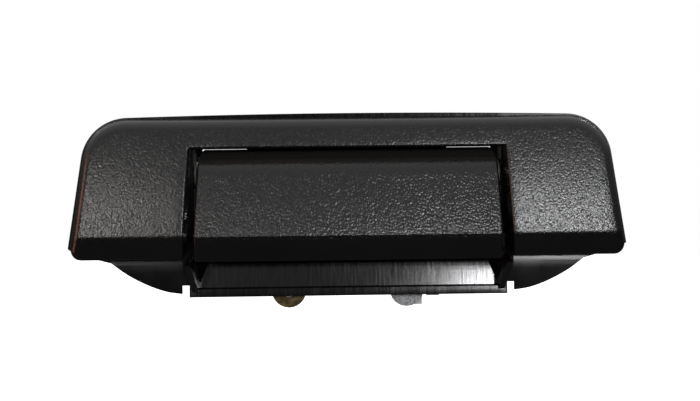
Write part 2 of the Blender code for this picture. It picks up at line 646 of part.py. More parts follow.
def build_pivot(side, finish):
    """Shoulder rivet: thin end in the support plate, shoulder through the crank, domed head behind."""
    front = PLATE_FRONT - 0.7
    under_head = CRANK_BACK + GAP - 0.2 - front
    on_plate = PLATE_BACK + GAP - front
    profile = [(0, 7.6), (4.0, 7.2), (6.3, 6.2), (6.3, under_head), (PIVOT_RADIUS, under_head),
               (PIVOT_RADIUS, on_plate), (2.1, on_plate), (2.1, 0.7), (1.7, 0.0), (0, 0.0)]
    made = turned("pivot", profile, (side * PIVOT_X, front, PIVOT_Z), (0, 1, 0))
    return settle(made, f"crank_pivot_{'right' if side > 0 else 'left'}", finish)


def build_washer(side, finish):
    start, end = (side * PIVOT_X, WASHER_FRONT, PIVOT_Z), (side * PIVOT_X, WASHER_BACK, PIVOT_Z)
    made = ring("washer", PIVOT_RADIUS + 0.3, 8.0, start, end)
    return settle(made, f"crank_washer_{'right' if side > 0 else 'left'}", finish)


def clip_place(side, u, y, v):
    """A point of a rod clip, u along its arm: the right arm lies outwards, the left one is turned up."""
    return (ROD_X + u, y, ROD_Z + v) if side > 0 else (-ROD_X + v, y, ROD_Z + u)


def build_rod_clip(side, finish):
    """Nylon clip that snaps into the crank's eye and swings its arm over the latch rod."""
    x = side * ROD_X
    near = CRANK_BACK + GAP
    far = CRANK_BACK + 7.0
    groove = CRANK_BACK + 5.0

    def bar(name, low, high):
        return box(name, clip_place(side, *low), clip_place(side, *high))

    body = post("barrel", ROD_HOLE - 0.2, x, ROD_Z, CRANK_FRONT - 1.4, near + 1.0)
    body = union(body, bar("pad", (-3.6, near, -7.6), (7.3, near + 2.2, 4.4)))
    body = union(body, bar("arm", (0.0, near, -2.4), (15.5, near + 2.4, 2.4)))
    body = union(body, bar("saddle", (9.5, near + 0.7, -3.6), (15.5, far, 3.6)))
    body = cut(body, post("bore", 1.9, x, ROD_Z, 10, 40, 16))
    start, end = clip_place(side, 8.0, groove, 0.0), clip_place(side, 20.0, groove, 0.0)
    body = cut(body, rod("groove", 1.8, start, end, 16))
    body = cut(body, bar("entry", (8.0, groove, -1.2), (20.0, far + 6.0, 1.2)))
    name = f"rod_clip_{'right' if side > 0 else 'left'}"
    return settle(body, name, finish, (x, CRANK_BACK, ROD_Z))


# ---------------------------------------------------------------- fasteners and stops


def build_screw(name, head_at, direction, length, head_radius, finish, shank=1.6, origin=None):
    """Pan-head screw with a cross recess; head_at is the middle of the face under its head."""
    dome = 1.9
    profile = [(0, length), (shank * 0.5, length), (shank, length - 1.2), (shank, 0),
               (head_radius, 0), (head_radius, -dome * 0.55), (head_radius * 0.72, -dome), (0, -dome)]
    body = turned(name, profile, head_at, direction, steps=16)
    along = Vector(direction).normalized()
    turn = along.to_track_quat("Z", "Y").to_matrix().to_4x4()
    wide, thin = head_radius * 0.55, 0.45
    for across, up, floor in ((wide, thin, -dome * 0.45), (thin, wide, -dome * 0.5)):
        recess = box("recess", (-across, -up, -dome - 1), (across, up, floor))
        recess.data.transform(Matrix.Translation(head_at) @ turn)
        body = cut(body, recess)
    return settle(body, name, finish, origin)


def build_screws(finish):
    for side, word in ((1, "right"), (-1, "left")):
        for (x, z), level in zip(BEZEL_SCREWS, ("upper", "lower")):
            depth = FLANGE_BACK - 2.3 + GAP
            reach = min(8.5, depth - face_y(z) - 3.4)
            build_screw(f"bezel_screw_{word}_{level}", (side * x, depth, z), (0, -1, 0), reach, 3.6, finish)
        for (x, z), level in zip(PLATE_SCREWS, ("upper", "lower")):
            head_at = (side * x, PLATE_BACK + GAP, z)
            build_screw(f"plate_screw_{word}_{level}", head_at, (0, -1, 0), 6.6, 3.6, finish)
    for number, x in enumerate(PADDLE_SCREWS, 1):
        near, far = paddle_point(PADDLE_SCREW_DOWN, LEVER_FAR + GAP), paddle_point(PADDLE_SCREW_DOWN, 0)
        along = (0, far[0] - near[0], far[1] - near[1])
        build_screw(f"paddle_screw_{number}", (x, *near), along, 6.4, 3.4, finish, shank=1.4,
                    origin=(0, HINGE_Y, HINGE_Z))


def build_stud(side, finish):
    """Mounting stud: flat round head in front of the flange, threaded shank through the tailgate skin."""
    x = side * STUD_X
    head = FLANGE_FRONT - GAP
    length = STUD_END - head
    profile = [(0, length), (STUD_RADIUS - 0.9, length), (STUD_RADIUS, length - 1.2), (STUD_RADIUS, 0),
               (7.5, 0), (7.5, -2.0), (0, -2.0)]
    made = turned("stud", profile, (x, head, STUD_Z), (0, 1, 0))
    return settle(made, f"mount_stud_{'right' if side > 0 else 'left'}", finish)


def build_bumper(side, finish):
    """Rubber stop that the closed paddle rests on."""
    x = side * BUMPER_X
    tip = BUMPER_LENGTH
    profile = [(0, tip), (1.8, tip), (BUMPER_RADIUS, tip - 0.8), (BUMPER_RADIUS, 0),
               (1.3, 0), (1.3, -4.5), (0, -4.5)]
    made = turned("bumper", profile, (x, LEDGE_FRONT - GAP, BUMPER_Z), (0, -1, 0), steps=20)
    return settle(made, f"bump_stop_{'right' if side > 0 else 'left'}", finish)


# ---------------------------------------------------------------- assembly


def hang(names, empty_name, point):
    """Parents moving parts to an empty on their joint axis."""
    empty = bpy.data.objects.new(empty_name, None)
    empty.location = Vector(point) * MM
    parts.objects.link(empty)
    bpy.context.view_layer.update()
    for name in names:
        obj = bpy.data.objects[name]
        obj.parent = empty
        obj.matrix_parent_inverse = empty.matrix_world.inverted()
    return empty


def main():
    clear_scene()
    grained = material("grained_black_plastic", (0.022, 0.021, 0.021), 0.5)
    moulded = material("smooth_black_plastic", (0.016, 0.016, 0.017), 0.32)
    foam = material("black_foam_rubber", (0.02, 0.02, 0.021), 0.95)
    rubber = material("black_rubber", (0.025, 0.025, 0.025), 0.8)
    black_steel = material("black_coated_steel", (0.03, 0.03, 0.032), 0.45, 0.6)
    yellow_zinc = material("yellow_zinc_steel", (0.55, 0.42, 0.2), 0.38, 0.9)
    bright_zinc = material("bright_zinc_steel", (0.6, 0.61, 0.62), 0.32, 0.95)
    spring_steel = material("spring_steel", (0.32, 0.31, 0.3), 0.35, 0.95)
    nylon = material("natural_nylon", (0.75, 0.73, 0.66), 0.5)

    build_bezel(grained)
    build_housing(moulded)
    build_gasket(foam)
    build_paddle(grained)
    build_lever(black_steel)
    build_pin(bright_zinc)
    build_pin_clip(spring_steel)
    build_spring(spring_steel)
    build_support_plate(black_steel)
    build_screws(bright_zinc)
    for side in (1, -1):
        build_bush(side, nylon)
        build_crank(side, bright_zinc if side > 0 else yellow_zinc)
        build_pivot(side, bright_zinc)
        build_washer(side, nylon)
        build_rod_clip(side, nylon)
        build_stud(side, bright_zinc)
        build_bumper(side, rubber)

    flap = ["paddle", "pull_lever"] + [f"paddle_screw_{n}" for n in range(1, len(PADDLE_SCREWS) + 1)]
    hang(flap, "paddle_axis", (0, HINGE_Y, HINGE_Z))
    for side, word in ((1, "right"), (-1, "left")):
        axis = hang([f"bell_crank_{word}"], f"crank_axis_{word}", (side * PIVOT_X, CRANK_FRONT, PIVOT_Z))
        clip_axis = hang([f"rod_clip_{word}"], f"clip_axis_{word}", (side * ROD_X, CRANK_BACK, ROD_Z))
        clip_axis.parent = axis
        clip_axis.matrix_parent_inverse = axis.matrix_world.inverted()


main()
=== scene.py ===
"""Looks of the tailgate door handle: finished surfaces, materials, studio and camera.

Lengths here are millimetres in the frame's axes (X across, Y into the tailgate, Z up);
add_piece() turns a finished mesh into metres.
"""

import json
import math

import bmesh
import bpy
import numpy as np
from mathutils import Matrix, Vector
from mathutils.geometry import delaunay_2d_cdt


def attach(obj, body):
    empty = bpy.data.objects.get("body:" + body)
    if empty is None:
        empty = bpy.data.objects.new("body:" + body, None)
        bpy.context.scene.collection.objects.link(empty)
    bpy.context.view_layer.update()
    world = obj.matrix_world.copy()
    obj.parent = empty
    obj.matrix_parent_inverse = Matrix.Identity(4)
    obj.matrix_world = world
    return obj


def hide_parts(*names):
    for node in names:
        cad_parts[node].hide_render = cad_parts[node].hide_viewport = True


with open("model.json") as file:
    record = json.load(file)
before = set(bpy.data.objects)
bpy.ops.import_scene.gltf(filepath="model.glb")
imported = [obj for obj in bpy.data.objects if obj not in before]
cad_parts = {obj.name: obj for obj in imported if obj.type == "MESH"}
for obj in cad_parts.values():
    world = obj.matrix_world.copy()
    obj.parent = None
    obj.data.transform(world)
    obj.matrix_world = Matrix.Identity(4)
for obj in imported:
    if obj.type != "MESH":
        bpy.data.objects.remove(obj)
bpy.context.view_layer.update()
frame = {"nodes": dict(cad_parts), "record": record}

MM = 0.001

# Layers of the seat and the tapered front outline.
FLANGE_FRONT, FLANGE_BACK = -3.8, -1.8
BEZEL_BACK, NOSE_Y = -4.1, -24.0
LEAN = 0.18
BASE = {"half": 112.4, "top": 4.6, "bottom": -53.8, "round_top": 20.0, "round_bottom": 4.2}
NOSE = {"half": 106.6, "top": -0.3, "bottom": -55.0, "round_top": 17.0, "round_bottom": 4.2}
WALL = 2.6

# Rounding of the bezel's front edges: along the top, the sides, the wings' lower ends and the opening.
BEZEL_ROUNDING = (2.6, 2.6, 1.3, 1.1)
WING_TIP_ROUND, OPENING_ROUND = 1.6, 0.6
REAR_STEP = 0.3

# Front face: crowned slope, crease, tucked-in band.
FACE_TOP_Y, FACE_TOP_Z = -10.6, 3.3
CREASE_Y, CREASE_Z = -20.8, -44.8
FACE_BOTTOM_Y, FACE_BOTTOM_Z = -18.3, -57.0
FACE_CROWN = 0.8
CREASE_BLEND = 0.3

# Opening for the paddle.
OPENING_TOP, OPENING_HALF_TOP, OPENING_HALF_BOTTOM = -8.1, 67.4, 70.3
COLLAR = 2.2

# Paddle.
HINGE_Y, HINGE_Z, PIN_RADIUS = 3.0, -20.5, 2.5
PADDLE_HALF_TOP, PADDLE_HALF_BOTTOM = 64.4, 65.6
CORNER_IN, CORNER_DOWN = 0.9, 6.0
PADDLE_SKIN = 2.6
PADDLE_BOTTOM_Y, PADDLE_BOTTOM_Z = -18.6, -55.8
PADDLE_ROLL = [(90, 11.4), (105, 11.6), (120, 12.0), (130, 12.3), (140, 12.8), (150, 13.9)]
PADDLE_SHOULDER = (-11.5, -15.5)
SHOULDER_CURVE = [(-8.7, -13.2), (-10.4, -14.8), (-11.8, -16.9), (-13.0, -19.6), (-14.2, -23.2)]
PADDLE_REAR = [(-14.6, -56.0), (-12.8, -52.0), (-8.5, -40.0), (2.0, -27.5),
               (7.4, -22.5), (7.4, -18.0), (6.6, -9.8)]
PADDLE_ROUNDING = [1.1, 0.9, 0.8, 3, 6, 3, 1.5, 1.5, 0.8]
PADDLE_EDGE, PADDLE_CROWN = 1.1, 0.35
LEVER_NEAR, BOSS_RADIUS, PILOT_RADIUS = 6.3, 3.8, 1.7
PADDLE_SCREWS, PADDLE_SCREW_DOWN = (-46.0, -18.0, 18.0, 46.0), 19.0

# Rear moulding.
FLANGE_HALF, FLANGE_TOP, FLANGE_CORNER_Z, FLANGE_CROWN = 113.2, 5.3, -51.5, 1.1
POCKET_HALF, POCKET_WALL, POCKET_TOP, POCKET_BACK = 67.0, 2.5, -7.8, 13.0
SCOOP = [(13.0, -40.5), (12.4, -45.5), (10.4, -50.2), (7.0, -54.0), (3.8, -57.0), (2.3, -59.8),
         (0.3, -70.0)]
LIP_HALF, LIP_TOP, LIP_BOTTOM, LIP_FRONT, LIP_BACK = 69.8, -69.2, -73.4, -5.2, 2.6
LIP_LEAN, LIP_ROUNDING = 0.52, [0.4, 0, 0.3, 0.3, 0.7]
GROOVE_FRONT, GROOVE_BACK, GROOVE_BOTTOM = -4.1, 0.2, -71.7
APRON_INNER, NOTCH_TOP = 73.2, -68.3
APRON_CURVE = [(104.5, -57.6), (96.6, -63.4), (88.0, -68.0), (80.0, -70.9), (APRON_INNER, -72.0)]
APRON_ROLL = [(-3.8, -62.5), (-3.75, -61.0), (-3.6, -59.0), (-3.35, -57.0), (-3.05, -55.0)]
APRON_LINE_X = 85.0
SLOT_INNER, SLOT_OUTER, SLOT_TOP, SLOT_BOTTOM = 45.0, 65.3, -9.3, -40.8
PAD_BACK = 18.7
STUD_X, STUD_Z, STUD_RADIUS = 92.0, -28.0, 3.0
BEZEL_SCREWS = [(103.0, -10.0), (82.0, -44.0)]
PLATE_SCREWS = [(39.5, -13.5), (6.0, -36.0)]
PIVOT_X, PIVOT_Z = 24.0, -24.5
BUMPER_X, BUMPER_Z, LEDGE_FRONT = 58.0, -49.0, -10.2
SEAT_RADIUS, SEAT_DEPTH, SEAT_RECESS, SEAT_HOLE = 6.0, 2.3, 4.3, 2.1
PAD_RADIUS, PLATE_SCREW_HOLE, PIVOT_HOLE = 5.5, 1.9, 2.6
BUSH_HOLE, BUMPER_HOLE = 4.2, 1.6

# Corner points of two webs at the pocket's right end; the left ones mirror them.
GUSSET = [(67.6, -17.2, -57.6), (70.0, -17.2, -57.6), (67.6, -3.0, -56.0), (70.0, -3.0, -56.0),
          (65.6, -5.0, -71.2), (68.6, -5.0, -71.2), (65.6, -2.5, -71.2), (68.6, -2.5, -71.2)]
CHEEK = [(59.0, 5.0, -56.0), (67.5, -4.5, -56.0), (67.5, 5.0, -56.0),
         (66.4, 0.8, -70.5), (67.5, -0.6, -70.5), (67.5, 0.8, -70.5)]

# Pebbles of the moulded grain: size and depth, on the bezel and, coarser, on the flap.
BEZEL_PEBBLE, BEZEL_GRAIN = 0.84, 0.07
FLAP_PEBBLE, FLAP_GRAIN = 0.98, 0.145
# Painted light: a lighter colour for the flap's smooth top roll, and how strongly it is laid on, stand in
# for light falling from above.
FLAP_PAINTED_LIGHT, PAINTED_LIGHT_COLOUR = 1.4, (0.021, 0.0195, 0.0185)
ABOVE_ALL = 60.0

# Edges that turn by less than this many degrees are shaded smooth.
SMOOTH_ANGLE = 32
EDGE_ROUNDING, HOUSING_ROUNDING = 0.2, 0.28

# Camera: looks at the handle from a little above and a degree to its left.
CAMERA_DISTANCE, CAMERA_ABOVE, CAMERA_LEFT, CAMERA_ROLL = 430.0, 5.0, 1.06, 0.6
CAMERA_AIM = (0.97, 0.0, -32.0)
LENS = 50.2
FLOOR_Z, FLOOR_RADIUS = -900, 6000


# ---------------------------------------------------------------- mesh helpers


def add_piece(made, name, body, finish, slot, *nodes):
    """Makes a finished piece from a bmesh in millimetres, riding on a body in place of CAD nodes."""
    bmesh.ops.recalc_face_normals(made, faces=made.faces)
    mesh = bpy.data.meshes.new(name)
    made.to_mesh(mesh)
    made.free()
    mesh.transform(Matrix.Scale(MM, 4))
    mesh.shade_smooth()
    mesh.set_sharp_from_angle(angle=math.radians(SMOOTH_ANGLE))
    mesh.materials.append(finish)
    obj = bpy.data.objects.new(name, mesh)
    bpy.context.scene.collection.objects.link(obj)
    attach(obj, body)
    if nodes:
        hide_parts(*nodes)
    return obj


def skin_rings(made, rings):
    """Quads between successive closed rings of points; returns the rings of vertices."""
    grown = [[made.verts.new(p) for p in ring] for ring in rings]
    for low, high in zip(grown, grown[1:]):
        count = len(low)
        for i in range(count):
            j = (i + 1) % count
            made.faces.new((low[i], low[j], high[j], high[i]))
    return grown


def bridge(made, first, second):
    """Quads between two rings of vertices of equal length."""
    count = len(first)
    for i in range(count):
        j = (i + 1) % count
        made.faces.new((first[i], first[j], second[j], second[i]))


def fill_face(made, ring, depth, rows, step):
    """Fills a ring of vertices with triangles that follow depth(z), using rows of inner points."""
    flat = np.array([(v.co.x, v.co.z) for v in ring])
    low, high = flat.min(0), flat.max(0)
    columns = np.arange(-math.floor(-low[0] / step), math.floor(high[0] / step) + 1) * step
    inner = []
    ahead = np.roll(flat, -1, axis=0)
    for z in rows:
        for x in columns:
            crossing = (flat[:, 1] > z) != (ahead[:, 1] > z)
            share = (z - flat[:, 1]) / (ahead[:, 1] - flat[:, 1] + 1e-12)
            where = flat[:, 0] + share * (ahead[:, 0] - flat[:, 0])
            inside = np.count_nonzero(crossing & (x < where)) % 2
            if inside and np.hypot(flat[:, 0] - x, flat[:, 1] - z).min() > 0.55 * step:
                inner.append((x, z))
    points = [Vector(p) for p in flat] + [Vector(p) for p in inner]
    found = delaunay_2d_cdt(points, [], [list(range(len(ring)))], 1, 1e-5)
    verts = []
    for place, origin in zip(found[0], found[3]):
        known = [i for i in origin if i < len(ring)]
        verts.append(ring[known[0]] if known else made.verts.new((place.x, depth(place.y), place.y)))
    for face in found[2]:
        made.faces.new([verts[i] for i in face])


def combined(made, other, operation):
    """Boolean of two closed bmeshes in millimetres; both are used up."""
    objects = []
    for part in (made, other):
        bmesh.ops.recalc_face_normals(part, faces=part.faces)
        mesh = bpy.data.meshes.new("part")
        part.to_mesh(mesh)
        part.free()
        objects.append(bpy.data.objects.new("part", mesh))
        bpy.context.scene.collection.objects.link(objects[-1])
    modifier = objects[0].modifiers.new("cut", "BOOLEAN")
    modifier.operation = operation
    modifier.object = objects[1]
    graph = bpy.context.evaluated_depsgraph_get()
    joined = bmesh.new()
    joined.from_mesh(bpy.data.meshes.new_from_object(objects[0].evaluated_get(graph)))
    for obj in objects:
        bpy.data.objects.remove(obj)
    bmesh.ops.remove_doubles(joined, verts=joined.verts, dist=1e-4)
    return joined


def union(made, *others):
    """The first bmesh joined with the others."""
    for other in others:
        made = combined(made, other, "UNION")
    return made


def cut(made, *others):
    """The first bmesh with the others taken away."""
    for other in others:
        made = combined(made, other, "DIFFERENCE")
    return made


def prism(outline, plane, low, high):
    """A flat outline given thickness: in XZ from y = low to high, or in YZ from x = low to high."""
    made = bmesh.new()
    place = (lambda u, v, w: (u, w, v)) if plane == "XZ" else (lambda u, v, w: (w, u, v))
    rings = skin_rings(made, [[place(u, v, w) for u, v in outline] for w in (low, high)])
    made.faces.new(rings[0])
    made.faces.new(rings[1])
    return made


def block(low, high):
    """A box between two corners."""
    made = bmesh.new()
    size, middle = Vector(high) - Vector(low), (Vector(high) + Vector(low)) / 2
    bmesh.ops.create_cube(made, size=1.0, matrix=Matrix.Translation(middle) @ Matrix.Diagonal((*size, 1)))
    return made


def turned(profile, centre, direction, steps=48):
    """A lathe part: (radius, distance) points swept round an axis; off the axis, the profile closes."""
    made = bmesh.new()
    turn = Matrix.Translation(centre) @ Vector(direction).to_track_quat("Z", "Y").to_matrix().to_4x4()
    closed = min(r for r, h in profile) > 1e-6
    rows = []
    for r, h in profile:
        if r < 1e-6:
            rows.append([made.verts.new(turn @ Vector((0, 0, h)))])
            continue
        angles = [2 * math.pi * i / steps for i in range(steps)]
        rows.append([made.verts.new(turn @ Vector((r * math.cos(a), r * math.sin(a), h))) for a in angles])
    if closed:
        rows.append(rows[0])
    for low, high in zip(rows, rows[1:]):
        for i in range(steps):
            j = (i + 1) % steps
            corners = [low[i % len(low)], low[j % len(low)], high[j % len(high)], high[i % len(high)]]
            corners = list(dict.fromkeys(corners))
            if len(corners) > 2:
                made.faces.new(corners)
    return made


def rod(radius, start, end, steps=40):
    """A round bar between two points."""
    along = Vector(end) - Vector(start)
    return turned([(0, along.length), (radius, along.length), (radius, 0), (0, 0)], start, along, steps)


def hull(points):
    """The convex solid round some points."""
    made = bmesh.new()
    for point in points:
        made.verts.new(point)
    found = bmesh.ops.convex_hull(made, input=made.verts)
    bmesh.ops.delete(made, geom=found["geom_interior"], context="VERTS")
    return made


def soften(obj, width, segments=2, angle=38.0):
    """Rounds a piece's sharp edges."""
    bevel = obj.modifiers.new("edges", "BEVEL")
    bevel.width = width * MM
    bevel.segments = segments
    bevel.limit_method = "ANGLE"
    bevel.angle_limit = math.radians(angle)
    bevel.harden_normals = True
    return obj


def smooth_by_angle():
    """Geometry nodes that shade a mesh smooth except across its sharp edges."""
    group = bpy.data.node_groups.new("smooth_by_angle", "GeometryNodeTree")
    for direction in ("INPUT", "OUTPUT"):
        group.interface.new_socket("Geometry", in_out=direction, socket_type="NodeSocketGeometry")
    start, end = group.nodes.new("NodeGroupInput"), group.nodes.new("NodeGroupOutput")
    angle = group.nodes.new("GeometryNodeInputMeshEdgeAngle")
    shallow = group.nodes.new("FunctionNodeCompare")
    shallow.operation = "LESS_THAN"
    shallow.inputs["B"].default_value = math.radians(SMOOTH_ANGLE)
    edges, faces = (group.nodes.new("GeometryNodeSetShadeSmooth") for _ in range(2))
    edges.domain, faces.domain = "EDGE", "FACE"
    group.links.new(angle.outputs["Unsigned Angle"], shallow.inputs["A"])
    group.links.new(shallow.outputs["Result"], edges.inputs["Shade Smooth"])
    group.links.new(start.outputs[0], edges.inputs["Geometry"])
    group.links.new(edges.outputs[0], faces.inputs["Geometry"])
    group.links.new(faces.outputs[0], end.inputs[0])
    return group


def arc(centre, radius, start, end, count):
    """Points along a circle from one angle in degrees to another."""
    angles = [math.radians(start + (end - start) * i / count) for i in range(count + 1)]
    return [(centre[0] + radius * math.cos(a), centre[1] + radius * math.sin(a)) for a in angles]


def mirrored(outline):
    """A right-hand outline followed by its mirror image."""
    return outline + [(-x, z) for x, z in reversed(outline) if abs(x) > 1e-6]


# ---------------------------------------------------------------- outlines


def shifted_corners(corners, insets):
    """Corners of a clockwise polygon after edge i, from corner i to the next, moves in by insets[i]."""
    count = len(corners)
    lines = []
    for i, inset in enumerate(insets):
        a, b = Vector(corners[i]), Vector(corners[(i + 1) % count])
        along = (b - a).normalized()
        lines.append((a + Vector((along.y, -along.x)) * inset, along))
    moved = []
    for i in range(count):
        (p, u), (q, v) = lines[i - 1], lines[i]
        gap = q - p
        moved.append(p + u * ((gap.x * v.y - gap.y * v.x) / (u.x * v.y - u.y * v.x)))
    return moved


def rounded_loop(corners, radii, runs, arc_steps=10):
    """Points along a clockwise polygon with rounded corners.

    runs[i] says how edge i is divided: a number of even steps, or the list of heights to pass through.
    """
    count = len(corners)
    arcs = []
    for i, (corner, radius) in enumerate(zip(corners, radii)):
        before = (corner - corners[i - 1]).normalized()
        after = (corners[(i + 1) % count] - corner).normalized()
        turn = before.angle_signed(after)
        reach = radius * math.tan(abs(turn) / 2)
        start = corner - before * reach
        side = 1 if turn > 0 else -1
        centre = start + Vector((before.y, -before.x)) * radius * side
        spoke = start - centre
        steps = [turn * s / arc_steps for s in range(arc_steps + 1)]
        arcs.append([centre + Matrix.Rotation(-a, 2) @ spoke for a in steps])
    points = []
    for i, run in enumerate(runs):
        points += arcs[i]
        a, b = arcs[i][-1], arcs[(i + 1) % count][0]
        if isinstance(run, int):
            shares = [s / run for s in range(1, run)]
        else:
            ordered = sorted(run, reverse=a.y > b.y)
            shares = [(z - a.y) / (b.y - a.y) for z in ordered]
        points += [a.lerp(b, s) for s in shares]
    return np.array([(p.x, p.y) for p in points])


def face_depth(z):
    """Depth y of the front face at height z."""
    t = (FACE_TOP_Z - z) / (FACE_TOP_Z - CREASE_Z)
    upper = FACE_TOP_Y + (CREASE_Y - FACE_TOP_Y) * t - FACE_CROWN * 4 * t * (1 - t)
    lower = CREASE_Y + (FACE_BOTTOM_Y - CREASE_Y) * (CREASE_Z - z) / (CREASE_Z - FACE_BOTTOM_Z)
    share = np.clip(0.5 + 0.5 * (upper - lower) / CREASE_BLEND, 0, 1)
    return lower + (upper - lower) * share + CREASE_BLEND * share * (1 - share)


CREASE_ROWS = [CREASE_Z + s for s in (2.4, 1.5, 1.0, 0.65, 0.35, 0.1, -0.15, -0.4, -0.7, -1.1, -1.8)]
FACE_ROWS = [-18.0 - 3.0 * i for i in range(9)] + CREASE_ROWS
SIDE_ROWS = [z for z in FACE_ROWS if z > -48.0]
OPENING_ROWS = [-13.0, -15.5] + SIDE_ROWS + [-48.5]


# ---------------------------------------------------------------- bezel


def bezel_loop(taper, insets):
    """The bezel's inverted-U outline, clockwise from top left; taper 0 is its seat, 1 its nose."""
    mix = {key: BASE[key] + (NOSE[key] - BASE[key]) * taper for key in BASE}
    side = lambda z: mix["half"] - LEAN * z
    spread = (OPENING_HALF_BOTTOM - OPENING_HALF_TOP) / (OPENING_TOP - FACE_BOTTOM_Z)
    inner = lambda z: OPENING_HALF_TOP + spread * (OPENING_TOP - z)
    top, low = mix["top"], mix["bottom"]
    corners = [(-side(top), top), (side(top), top), (side(low), low), (inner(low), low),
               (inner(OPENING_TOP), OPENING_TOP), (-inner(OPENING_TOP), OPENING_TOP),
               (-inner(low), low), (-side(low), low)]
    top_in, side_in, low_in, open_in = insets
    moved = shifted_corners(corners, [top_in, side_in, low_in, open_in, open_in, open_in, low_in, side_in])
    outer_top = max(mix["round_top"] - (top_in + side_in) / 2, 1)
    outer_low = max(mix["round_bottom"] - (low_in + side_in) / 2, 0.5)
    inner_low = max(WING_TIP_ROUND - (low_in + open_in) / 2, 0.3)
    inner_top = OPENING_ROUND + open_in
    radii = [outer_top, outer_top, outer_low, inner_low, inner_top, inner_top, inner_low, outer_low]
    runs = [30, SIDE_ROWS, 8, OPENING_ROWS, 30, OPENING_ROWS, 8, SIDE_ROWS]
    return rounded_loop(moved, radii, runs)


def edge_radii(count_loop, values):
    """The rounding radius at each point of the bezel loop, blended across the corners."""
    sides, opens = len(SIDE_ROWS), len(OPENING_ROWS)
    runs = [29, sides, 7, opens, 29, opens, 7, sides]
    top, side, low, opening = values
    edges = [top, side, low, opening, opening, opening, low, side]
    radii = []
    for i, run in enumerate(runs):
        radii += [edges[i - 1] + (edges[i] - edges[i - 1]) * s / 10 for s in range(11)]
        radii += [edges[i]] * run
    assert len(radii) == count_loop
    return np.array(radii)


def placed_ring(insets, behind):
    """Ring of the loop, drafted, standing a distance behind the front face (an array or a number)."""
    base, nose = bezel_loop(0.0, insets), bezel_loop(1.0, insets)
    taper = np.zeros(len(base))
    for _ in range(6):
        flat = base + (nose - base) * taper[:, None]
        depth = np.minimum(face_depth(flat[:, 1]) + behind, BEZEL_BACK)
        taper = (depth - BEZEL_BACK) / (NOSE_Y - BEZEL_BACK)
    return np.column_stack([flat[:, 0], depth, flat[:, 1]])


def wall_rings(front_ring, insets, shares):
    """Rings down the drafted wall, from the rear edge towards a front ring."""
    base, nose = bezel_loop(0.0, insets), bezel_loop(1.0, insets)
    rings = []
    for share in shares:
        depth = BEZEL_BACK + (front_ring[:, 1] - BEZEL_BACK) * share
        taper = (depth - BEZEL_BACK) / (NOSE_Y - BEZEL_BACK)
        flat = base + (nose - base) * taper[:, None]
        rings.append(np.column_stack([flat[:, 0], depth, flat[:, 1]]))
    return rings


def build_bezel(finish):
    """Hollow cover: a drafted wall, a rounded edge and a crowned, creased face over an even cavity."""
    made = bmesh.new()
    radii = edge_radii(len(bezel_loop(0.0, (0, 0, 0, 0))), BEZEL_ROUNDING)
    fillet = []
    for angle in range(0, 91, 15):
        a = math.radians(angle)
        insets = [r * (1 - math.cos(a)) for r in BEZEL_ROUNDING]
        fillet.append(placed_ring(insets, radii * (1 - math.sin(a))))
    rear = [r.copy() for r in wall_rings(fillet[0], (REAR_STEP,) * 4, (0.0,))]
    walls = wall_rings(fillet[0], (0, 0, 0, 0), (0.04, 0.35, 0.7))
    outer = skin_rings(made, rear + walls + fillet)
    rows = [1.0, -2.0, -5.0, -9.0, -12.0, -15.0] + FACE_ROWS + [-48.5, -51.0]
    fill_face(made, outer[-1], face_depth, rows, 2.6)
    inner_insets = (WALL, WALL, WALL, COLLAR)
    roof = placed_ring(inner_insets, WALL)
    cavity = skin_rings(made, wall_rings(roof, inner_insets, (0.0, 0.5)) + [roof])
    fill_face(made, cavity[-1], lambda z: face_depth(z) + WALL, rows, 4.0)
    bridge(made, outer[0], cavity[0])
    return add_piece(made, "bezel_shell", "root", finish, "grained_black_plastic", "bezel")


# ---------------------------------------------------------------- paddle


def paddle_point(down, behind):
    """A point measured down the paddle's face from its shoulder and square behind the face."""
    along = (Vector((CREASE_Y, CREASE_Z)) - Vector(PADDLE_SHOULDER)).normalized()
    place = Vector(PADDLE_SHOULDER) + along * down + Vector((-along.y, along.x)) * behind
    return place.x, place.y


def smooth_path(points, per_span):
    """Catmull-Rom curve through the points."""
    path = [Vector(p) for p in points]
    path = [path[0] * 2 - path[1]] + path + [path[-1] * 2 - path[-2]]
    smooth = []
    for a, b, c, d in zip(path, path[1:], path[2:], path[3:]):
        for s in range(per_span):
            t = s / per_span
            smooth.append(0.5 * (2 * b + (c - a) * t + (2 * a - 5 * b + 4 * c - d) * t * t
                                 + (3 * b - a - 3 * c + d) * t ** 3))
    return smooth + [path[-2]]


def rounded_path(path, steps):
    """An open path whose inner corners become short curves."""
    out = [tuple(path[0])]
    for a, p, b in zip(path, path[1:], path[2:]):
        start = a if a is path[0] else (a + p) / 2
        end = b if b is path[-1] else (p + b) / 2
        start, end = (start * 0.4 + p * 0.6, end * 0.4 + p * 0.6)
        for s in range(steps + 1):
            t = s / steps
            out.append(tuple(start * (1 - t) ** 2 + p * 2 * t * (1 - t) + end * t * t))
    return out + [tuple(path[-1])]


def filleted(path, radii, steps=5):
    """A closed path whose corners are rounded by the given radii (0 leaves a point as it is)."""
    out = []
    count = len(path)
    for i, (p, r) in enumerate(zip(path, radii)):
        if not r:
            out.append(p)
            continue
        back, ahead = (path[i - 1] - p).normalized(), (path[(i + 1) % count] - p).normalized()
        reach = r * math.tan((math.pi - back.angle(ahead)) / 2)
        a, b = p + back * reach, p + ahead * reach
        for s in range(steps + 1):
            t = s / steps
            out.append(a * (1 - t) ** 2 + p * 2 * t * (1 - t) + b * t * t)
    return out


def paddle_roll(inset):
    """Points of the rolled top round the hinge, inset from the outside."""
    return [(HINGE_Y + (radius - inset) * math.cos(math.radians(angle)),
             HINGE_Z + (radius - inset) * math.sin(math.radians(angle))) for angle, radius in PADDLE_ROLL]


